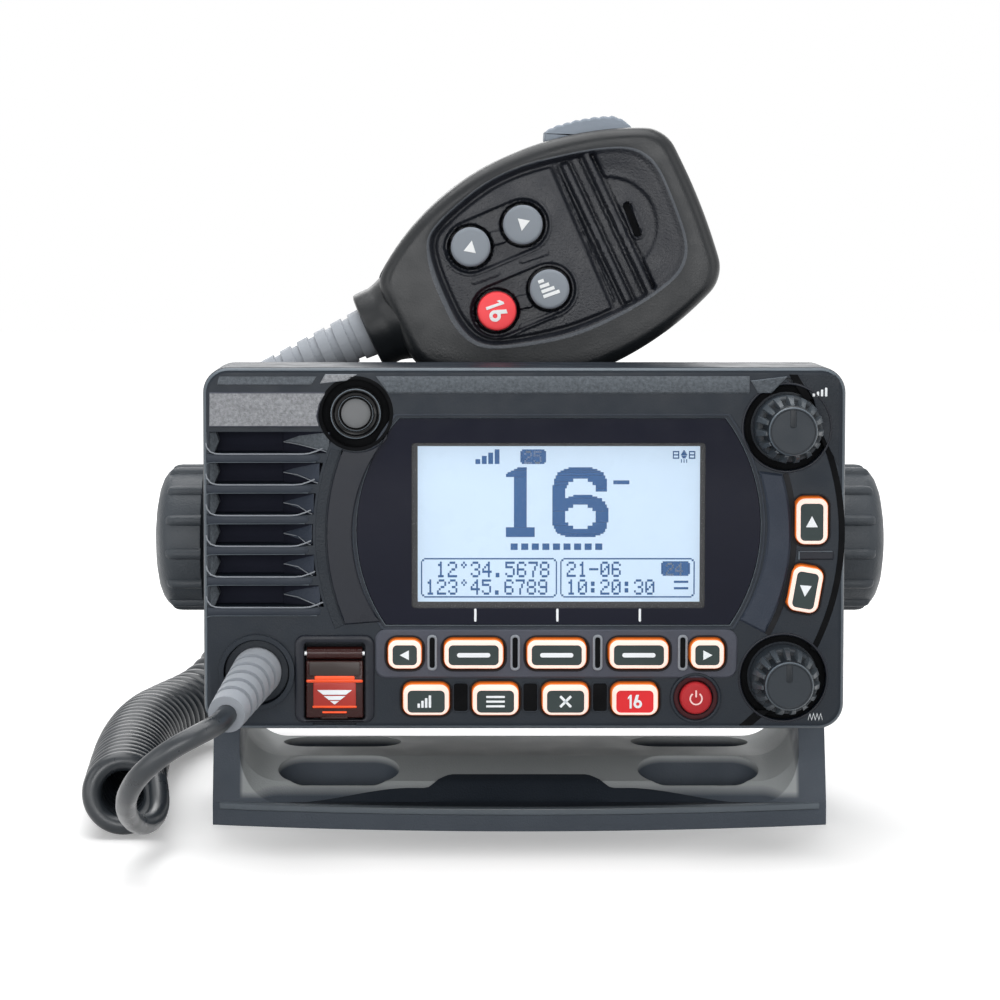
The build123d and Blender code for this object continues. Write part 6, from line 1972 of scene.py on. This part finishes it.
    def grille(self, ground: float, u: float, v: float, inside: float, split: float) -> float:
        """Height of the half beyond the split: two ribs, and the rounded end with its speaking dish.

        Args:
            ground: height so far.
            u: place along the microphone.
            v: place across it.
            inside: distance inward from the lip.
            split: place of the split along the microphone.

        Returns:
            The height.
        """
        ground -= 0.35 * eased(split + 0.3, split + 1.0, u) * (1 - eased(20.0, 21.2, u))
        beyond = eased(19.9, 20.9, u)
        ground += beyond * (0.15 + 1.25 * (1 - eased(0.6, 7.5, inside)))
        dish = math.hypot(u - self.dish[0], v - self.dish[1])
        within = 1 - eased(*self.dish_ring, dish)
        ground -= beyond * within * (0.35 + 0.55 * eased(4.0, self.dish_ring[0], dish))
        groove = abs(u - split - 1.35)
        ground += 0.5 * (1 - eased(0.12, 0.42, groove)) * (1 - eased(15.4, 16.2, abs(v + 2.4)))
        for rib in self.ribs:
            away = abs(u - rib + 0.01 * v)
            length = 1 - eased(18.2, 19.6, abs(v + 1.2))
            ground += (self.rim - 0.35 - ground) * (1 - eased(0.62, 1.0, away)) * length
            ground -= 0.55 * (1 - eased(0.25, 0.6, abs(away - 1.45))) * length
        return ground

    def key_beds(self, ground: float, u: float, v: float) -> float:
        """Height round the keys: a sunk, rimmed bed and a post for each pair, and a well for each key.

        Args:
            ground: height so far.
            u: place along the microphone.
            v: place across it.

        Returns:
            The height.
        """
        for (_, first), (_, second) in (self.keys[:2], self.keys[2:]):
            away = to_segment((u, v), first, second)
            ground -= 1.15 * (1 - eased(6.15, 6.5, away))
            ground += 0.25 * (1 - eased(0.1, 0.4, abs(away - 6.85)))
            post = to_segment((u, v), (first[0] + 6.0, first[1] - 0.5), (second[0] - 6.0, second[1] - 0.5))
            ground += 1.0 * (1 - eased(1.5, 1.8, post))
        start, end, depth = self.key_well
        for _, key in self.keys:
            away = math.hypot(u - key[0], v - key[1])
            ground -= depth * (1 - eased(self.key_radius + start, self.key_radius + end, away))
        return ground

    def relief(self, u: float, v: float, inside: float) -> float:
        """Height of the sunk front at a place.

        Args:
            u: place along the microphone.
            v: place across it.
            inside: distance inward from the lip.

        Returns:
            The height in millimetres out of the parting plane.
        """
        split = self.split + 0.02 * (v + 1.0)
        raised = eased(1.9, 2.7, inside) * (1 - eased(split - 0.35, split + 0.35, u))
        ground = self.floor + (self.panel - self.floor) * raised
        if u > split:
            ground = self.grille(ground, u, v, inside, split)
        hollow = to_segment((u, v), *self.slot)
        ground -= 2.4 * (1 - eased(0.75, 1.0, hollow))
        ground += 0.3 * (1 - eased(0.15, 0.4, abs(hollow - 1.25)))
        for bar in self.bars:
            ground += 0.32 * (1 - eased(0.5, 0.8, to_segment((u, v), *bar)))
        ground = self.key_beds(ground, u, v)
        return self.rim - (self.rim - ground) * eased(0.25, 1.7, inside)

    def bands(self, ways: Sequence[Flat]) -> list[tuple[list[Flat], Kit]]:
        """Rings of the front, from the middle of its back over the edge and the lip to the panel's middle.

        Args:
            ways: the directions around, as unit vectors.

        Returns:
            For each ring its radius and height in each direction, and the finish of the band that ends at it.
        """
        outer = self.reach(self.outline())
        corners = zip(self.lip, [*self.lip[1:], self.lip[0]])
        lip = self.reach(self.softened([point for a, b in corners for point in stretch(a, b, 8)], 2))
        east, north = self.middle
        start, end = self.talk_bar
        lows = [self.talk_bar_top if start < east + way[0] * far < end and way[1] > 0.3 else 0.0
                for way, far in zip(ways, outer)]
        bands = [([(far * share, low) for far, low in zip(outer, lows)], Kit.DEEP)
                 for share in (0.05, 0.5, 0.62, 0.75, 1)]
        bands.append(([(far, self.rim - 2 * self.edge) for far in outer], Kit.GRIP))
        for step in range(1, self.edge_steps + 1):
            angle = math.radians(90 * step / self.edge_steps)
            out = self.rim - self.edge * self.edge_depth * (1 - math.sin(angle)) - self.crown
            bands.append(([(far - self.edge * (1 - math.cos(angle)), out) for far in outer], Kit.GRIP))
        for share in (0.35, 0.7, 0.92):
            out = self.rim - self.crown + 2 * self.crown * share ** 2
            radii = [(far - self.edge) * (1 - share) + near * share for far, near in zip(outer, lip)]
            bands.append(([(radius, out) for radius in radii], Kit.GRIP))
        # painted highlight: a pale line along the lip
        bands.append(([(near, self.rim + self.crown) for near in lip], Kit.GRIP_LIP))
        for index in range(1, self.inner_rings):
            radii = [near * (1 - index / self.inner_rings) for near in lip]
            outs = [self.relief(east + way[0] * radius, north + way[1] * radius, near - radius)
                    for way, near, radius in zip(ways, lip, radii)]
            bands.append((list(zip(radii, outs)), Kit.GRIP_LIP if index < 2 else Kit.GRIP_PANEL))
        return bands

    def front(self) -> None:
        """The front half shell: eased edge, broad shoulder, lip and sunk panel."""
        mould = Mould("handset_front", MIC_FACE)
        ways = [(math.cos(a), math.sin(a)) for a in angles(self.around)]
        east, north = self.middle
        bands = self.bands(ways)
        rings = [mould.ring([(east + way[0] * radius, north + way[1] * radius)
                             for way, (radius, _) in zip(ways, places)], [out for _, out in places])
                 for places, _ in bands]
        mould.skin(rings, [finish for _, finish in bands[1:]])
        mould.cap(rings[-1], Kit.GRIP_PANEL)
        (u0, v0), (u1, v1) = self.slot
        # painted shade: a dark plate at the back of the slot hollow
        mould.plate(rounded_box(((u0 + u1) / 2, (v0 + v1) / 2), 1.9, v0 - v1 + 1.9, 0.9), 8.2, 8.7, Kit.DEEP)
        mould.cap(rings[0], Kit.DEEP, back=True)
        mould.done("microphone", "mic_front_shell", smooth_deg=60.0)

    def collar(self) -> None:
        """Round collar and flared neck between the palm shape and the cord's boot."""
        rings = [[MIC_FACE.spot(along, radius * math.cos(a), radius * math.sin(a)) / MM for a in angles(56)]
                 for along, radius in self.neck]
        Mould.holding("handset_collar", lofted(rings, closed=True), Kit.GRIP).done("microphone")

    def key_caps(self) -> None:
        """The four round keys with their signs."""
        signs = ((Sign.UP, -35.0, 3.2), (Sign.DOWN, -35.0, 3.2), (Sign.SIXTEEN, -95.0, 4.6),
                 (Sign.LEVELS, -95.0, 4.2))
        top = self.panel + self.key_rise
        stack = ((0.35, 7.2), (0.35, 10.6), (0.0, 10.75), (0.0, top - 0.75), (0.08, top - 0.45),
                 (0.25, top - 0.2), (0.5, top - 0.05), (0.85, top), (2.6, top + 0.03))
        for (node, middle), (sign, lean, size) in zip(self.keys, signs):
            red = sign is Sign.SIXTEEN
            side, face = (Kit.MIC_RED_SIDE, Kit.MIC_RED) if red else (Kit.MIC_GREY_SIDE, Kit.MIC_GREY)
            mould = Mould(node + "_cap", MIC_FACE)
            mould.solid([(round_outline(middle, self.key_radius - inset, 56), out) for inset, out in stack],
                        [side] * 5 + [face])
            for shape in sign_shapes(sign, size):
                mark = turned([(u + middle[0], v + middle[1]) for u, v in shape], middle, lean)
                mould.plate(mark, top - 0.2, top + 0.07, Kit.MIC_SIGN)
            mould.done(node, node)

    def talk_key(self) -> None:
        """Scalloped grey bar of the push-to-talk key."""
        mould = Mould("talk_key", MIC_FACE)
        depth, start, pitch = self.scallop
        outline = [(self.talk_crest[-1][0], self.talk_base), (self.talk_crest[0][0], self.talk_base)]
        for first, last in zip(self.talk_crest, self.talk_crest[1:]):
            steps = max(int(math.hypot(last[0] - first[0], last[1] - first[1]) / 0.28), 1)
            for u, v in stretch(first, last, steps):
                scalloped = start + 0.6 < u < start + 18.0
                wave = depth * abs(math.sin(math.pi * (u - start) / pitch)) if scalloped else depth / 2
                outline.append((u, v - depth + wave))
        mould.plate(outline[::-1], -5.5, 5.5, Kit.TALK, 0.7)
        mould.done("ptt_button", "ptt_button")

    def build(self) -> None:
        """Make the microphone's visible pieces."""
        self.front()
        self.collar()
        self.key_caps()
        self.talk_key()


# ------------------------------------------------------------------ bracket
@dataclass
class BracketBase:
    """Skins on the bracket's base: painted shade over its sunk shelf, which starts in a wave, and a painted
    highlight along the lip's edge.
    """

    half: float = 57.0
    lip_half: float = 74.5
    shelf_up: float = 5.5
    shelf_front: float = -22.4
    lip_depth: float = -30.0
    bow: float = 0.00135
    lip_profile: tuple[Flat, ...] = (
        (-0.05, -1.5), (-0.12, -0.7), (0.0, -0.1), (0.5, 0.2), (1.5, 0.26), (2.4, 0.2), (2.8, 0.05),
        (2.8, -0.3), (0.3, -0.75))

    def ground(self, depth: float) -> float:
        """Height of the base's upper side: a gentle slope, then a steep one down to the shelf."""
        gentle, steep = 13.95 + (depth + 4.0) * 0.302, 10.02 + (depth + 17.0) * 0.9
        return gentle if depth > -17.0 else max(steep, self.shelf_up)

    def crest(self, across: float) -> float:
        """Depth at which the shelf's skin starts: set back in the middle third."""
        return -13.9 - 4.8 * eased(16.5, 23.5, abs(across)) - 3.4 * eased(27.0, self.half, abs(across))

    def lip(self, across: float) -> float:
        """Depth of the lip's bowed front edge."""
        return self.lip_depth + self.bow * across * across

    def shelf_section(self, across: float) -> list[Vector]:
        """Section of the shelf's skin at a place across.

        Args:
            across: the place.

        Returns:
            Its points, in metres.
        """
        front, low = self.shelf_front, self.shelf_up - 0.4
        start, end = self.crest(across) - 0.1, self.lip(across) + 1.4
        depths = [start + (front - start) * share / 10 for share in range(11)]
        points = [(across, depth, self.ground(depth) + 0.2) for depth in depths]
        points += [(across, end, self.shelf_up + 0.14), (across, end, low), (across, front, low),
                   (across, start, self.ground(start) - 0.6)]
        return [Vector(point) * MM for point in points]

    def build(self) -> None:
        """Lay the skins on the base."""
        # painted shade: a dark skin over the sunk shelf
        shelf = Mould("base_shelf_painted_shade")
        shelf.loft([self.shelf_section(self.half * (2 * at / 96 - 1)) for at in range(97)], Kit.BRACKET_DARK)
        shelf.done("bracket")
        # painted highlight: a pale bead along the lip's edge
        edge = Mould("base_lip_painted_highlight")
        places = [2 * self.lip_half * at / 80 - self.lip_half for at in range(81)]
        edge.loft([[Vector((across, self.lip(across) + y, self.shelf_up + z)) * MM
                    for y, z in self.lip_profile] for across in places], Kit.BRACKET_EDGE)
        edge.done("bracket")


# ------------------------------------------------------------------ camera, light and floor
@dataclass
class Studio:
    """The camera, a pale floor and soft light from large panels."""

    eye: Point = (-0.0185, -0.742, 0.1516)
    lens_mm: float = 105.3
    film_mm: float = 36.0
    pitch_deg: float = 3.246
    shift: Flat = (0.055, -0.12)
    floor_half: float = 3.0
    panels: tuple[tuple[str, Point, Point, Flat, float], ...] = (
        ("top_panel", (-0.05, -0.05, 0.75), (0.0, 0.0, 0.05), (1.0, 0.6), 6.0),
        ("left_panel", (-0.8, -0.5, 0.30), (0.0, 0.0, 0.08), (0.5, 0.6), 1.5),
        ("right_panel", (0.8, -0.4, 0.30), (0.0, 0.0, 0.08), (0.5, 0.6), 1.2),
        ("front_panel", (0.0, -1.1, 0.26), (0.0, 0.0, 0.08), (0.8, 0.4), 4.4),
        ("low_panel", (-0.28, -0.42, 0.015), (-0.03, -0.06, 0.05), (0.3, 0.12), 0.35),
        ("rear_panel", (0.0, 0.7, 0.5), (0.0, 0.0, 0.08), (0.8, 0.4), 2.5))

    def build(self) -> None:
        """Make the camera, the lamps, the world and the floor."""
        scene = bpy.context.scene
        scene.view_settings.view_transform = "Standard"
        data = bpy.data.cameras.new("camera")
        data.lens = self.lens_mm
        data.sensor_width = self.film_mm
        data.shift_x, data.shift_y = self.shift
        camera = new_object("camera", data)
        camera.location = self.eye
        camera.rotation_euler = (math.radians(90.0 - self.pitch_deg), 0.0, 0.0)
        scene.camera = camera
        for panel in self.panels:
            self.panel(*panel)
        self.world()
        self.floor()

    def panel(self, name: str, at: Point, aim: Point, size: Flat, watts: float) -> None:
        """Hang one soft panel light.

        Args:
            name: the lamp's name.
            at: its place.
            aim: the point that it faces.
            size: its width and height.
            watts: its power.
        """
        data = bpy.data.lights.new(name, "AREA")
        data.shape = "RECTANGLE"
        data.size, data.size_y = size
        data.energy = watts
        lamp = new_object(name, data)
        lamp.location = at
        lamp.rotation_euler = (Vector(aim) - Vector(at)).to_track_quat("-Z", "Y").to_euler()

    def world(self) -> None:
        """White to the eye and to mirrors, and a soft grey fill on the object."""
        world = bpy.data.worlds.new("studio_world")
        bpy.context.scene.world = world
        world.use_nodes = True
        tree = world.node_tree
        tree.nodes.clear()
        fill, white = (add_node(tree, "ShaderNodeBackground", inputs={
            "Color": linear("#FFFFFF"), "Strength": power}) for power in (0.22, 1.0))
        mixed = add_node(tree, "ShaderNodeMixShader", inputs={
            0: self.mirrored(tree), 1: fill.outputs[0], 2: white.outputs[0]})
        add_node(tree, "ShaderNodeOutputWorld", inputs={"Surface": mixed.outputs[0]})

    def mirrored(self, tree: Tree) -> Socket:
        """Tell the rays that see the studio white, straight or by gloss, from those that light the object.

        Args:
            tree: the tree to add to.

        Returns:
            A socket that is 1 for camera, glossy and transmission rays.
        """
        rays = add_node(tree, "ShaderNodeLightPath").outputs
        straight = worked_out(tree, "MAXIMUM", rays["Is Camera Ray"], rays["Is Glossy Ray"])
        return worked_out(tree, "MAXIMUM", straight, rays["Is Transmission Ray"])

    def floor(self) -> None:
        """A pale floor that keeps the shadow under the object."""
        mesh = bpy.data.meshes.new("floor")
        half = self.floor_half
        corners = [(-half, -half, 0), (half, -half, 0), (half, half, 0), (-half, half, 0)]
        mesh.from_pydata(corners, [], [(0, 1, 2, 3)])
        made = bpy.data.materials.new("pale_floor")
        made.use_nodes = True
        tree = made.node_tree
        tree.nodes.clear()
        where = add_node(tree, "ShaderNodeTexCoord").outputs["Object"]
        away = add_node(tree, "ShaderNodeVectorMath", {"operation": "LENGTH"}, {0: where}).outputs["Value"]
        lift = ranged(tree, away, (0.25, 0.9), (0.25, 1.0))
        paper, grey = (add_node(tree, "ShaderNodeBsdfDiffuse", inputs={"Color": linear(code)})
                       for code in ("#F4F4F4", "#969696"))
        bright = add_node(tree, "ShaderNodeEmission", inputs={"Color": linear("#FFFFFF"), "Strength": lift})
        seen = add_node(tree, "ShaderNodeAddShader", inputs={0: paper.outputs[0], 1: bright.outputs[0]})
        mixed = add_node(tree, "ShaderNodeMixShader", inputs={
            0: self.mirrored(tree), 1: grey.outputs[0], 2: seen.outputs[0]})
        add_node(tree, "ShaderNodeOutputMaterial", inputs={"Surface": mixed.outputs[0]})
        mesh.materials.append(made)
        new_object("floor", mesh)


# ------------------------------------------------------------------ the cord
@dataclass
class CurlyCord:
    """The microphone's cord: a tail from the radio's boot, a coiled part and a tail to the microphone."""

    diameter: float = 4.8
    coil_diameter: float = 20.4
    turns: int = 37
    per_turn: int = 14
    start_deg: float = -25.0
    smoothness: int = 6
    radio_tail: tuple[Point, ...] = (
        (-67.6, -90.0, 39.3), (-68.5, -95.2, 38.3), (-72.6, -101.0, 37.0), (-79.5, -103.2, 33.6),
        (-86.2, -100.8, 27.8), (-89.9, -93.6, 21.6), (-91.2, -82.0, 15.4), (-90.5, -70.0, 10.4),
        (-88.6, -59.4, 7.8), (-87.0, -51.0, 8.6), (-87.0, -44.6, 11.4), (-88.2, -39.4, 14.6),
    )
    coil_route: tuple[Point, ...] = (
        (-96.5, -42.0, 11.0), (-98.5, -12.0, 10.8), (-100.4, 22.0, 10.8), (-99.4, 50.0, 11.4),
        (-94.8, 74.0, 10.8), (-86.5, 92.0, 12.4), (-77.6, 99.4, 21.6), (-75.0, 99.8, 43.0),
        (-74.3, 94.0, 61.0),
    )
    mic_tail: tuple[Point, ...] = (
        (-74.45, 95.0, 58.2), (-73.9, 91.4, 68.0), (-73.8, 84.0, 76.5), (-74.2, 72.0, 82.5),
        (-74.7, 57.0, 86.2), (-75.3, 40.0, 88.9), (-75.9, 23.0, 92.2), (-76.2, 8.5, 96.6),
        (-75.9, -1.4, 100.6), (-74.1, -7.2, 103.6), (-71.2, -10.4, 106.3), (-67.36, -12.0, 108.63),
        (-63.45, -12.0, 110.43),
    )

    def spline(self, name: str, points: Sequence[Point], bevel_mm: float) -> Piece:
        """A smooth curve with these points as its control points.

        Args:
            name: the piece's name.
            points: control points in millimetres.
            bevel_mm: radius of the cord, or 0 for a bare line.

        Returns:
            The curve object.
        """
        curve = bpy.data.curves.new(name, "CURVE")
        curve.dimensions = "3D"
        line = curve.splines.new("NURBS")
        line.points.add(len(points) - 1)
        for spot, point in zip(line.points, points):
            spot.co = (*(c * MM for c in point), 1.0)
        line.order_u = 3
        line.use_endpoint_u = True
        line.resolution_u = self.smoothness
        curve.resolution_u = self.smoothness
        curve.bevel_depth = bevel_mm * MM
        curve.bevel_resolution = self.smoothness
        curve.use_fill_caps = True
        return new_object(name, curve)

    def followed(self, points: Sequence[Point]) -> list[Vector]:
        """Points along the smooth line of a route, in millimetres.

        Args:
            points: the route's control points.

        Returns:
            The line's own points.
        """
        line = self.spline("route_line", points, 0.0)
        bpy.context.view_layer.update()
        seen = line.evaluated_get(bpy.context.evaluated_depsgraph_get())
        mesh = bpy.data.meshes.new_from_object(seen)
        found = [vertex.co / MM for vertex in mesh.vertices]
        bpy.data.objects.remove(line)
        bpy.data.meshes.remove(mesh)
        return found

    def helix(self) -> list[Point]:
        """Control points of the coiled part, wound about the coil's route.

        Returns:
            Points in millimetres, from the radio's tail to the microphone's.
        """
        line = self.followed(self.coil_route)
        steps = [0.0]
        for before, after in zip(line, line[1:]):
            steps.append(steps[-1] + (after - before).length)
        radius = (self.coil_diameter - self.diameter) / 2
        count = self.turns * self.per_turn
        start, end = self.diameter / 2, steps[-1] - self.diameter / 2
        across = Vector((1.0, 0.0, 0.0))
        wound: list[Point] = []
        place = 0
        for index in range(count + 1):
            goal = start + (end - start) * index / count
            while place < len(steps) - 2 and steps[place + 1] < goal:
                place += 1
            share = (goal - steps[place]) / (steps[place + 1] - steps[place])
            middle = line[place].lerp(line[place + 1], share)
            along = (line[place + 1] - line[place]).normalized()
            across = (across - along * across.dot(along)).normalized()
            up = along.cross(across)
            angle = 2 * math.pi * index / self.per_turn + math.radians(self.start_deg)
            wound.append(tuple(middle + (across * math.cos(angle) + up * math.sin(angle)) * radius))
        return wound

    def build(self) -> None:
        for name, node, points, lay in (("radio_tail_cord", "cord_tail_radio", self.radio_tail, "loose"),
                                        ("coiled_cord", "cord_coil", self.helix(), "coiled"),
                                        ("mic_tail_cord", "cord_tail_mic", self.mic_tail, "loose")):
            piece = dress(self.spline(name, points, self.diameter / 2), Kit.JACKET)
            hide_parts(node)
            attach(piece, "bracket")
            length = self.length(points)
            [c * MM for c in points[0]]
            LOG.info("%s: %.0f mm of cord", name, length / MM)

    def length(self, points: Sequence[Point]) -> float:
        """Length in metres of the smooth line over these control points."""
        line = self.followed(points)
        return sum((b - a).length for a, b in zip(line, line[1:])) * MM


def main() -> None:
    """Build the studio, the cord and every sub-assembly."""
    logging.basicConfig(level=logging.INFO, format="%(name)s: %(message)s")
    Studio().build()
    CurlyCord().build()
    for finish, nodes in CAD_FINISHES.items():
        for node in nodes:
            dress(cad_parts[node], finish)
    for assembly in (Display(), Keypad(), FrontTrim(), DistressKey(), ControlKnobs(), GimbalKnobs(),
                     Handset(), BracketBase()):
        assembly.build()


if __name__ == "__main__":
    main()
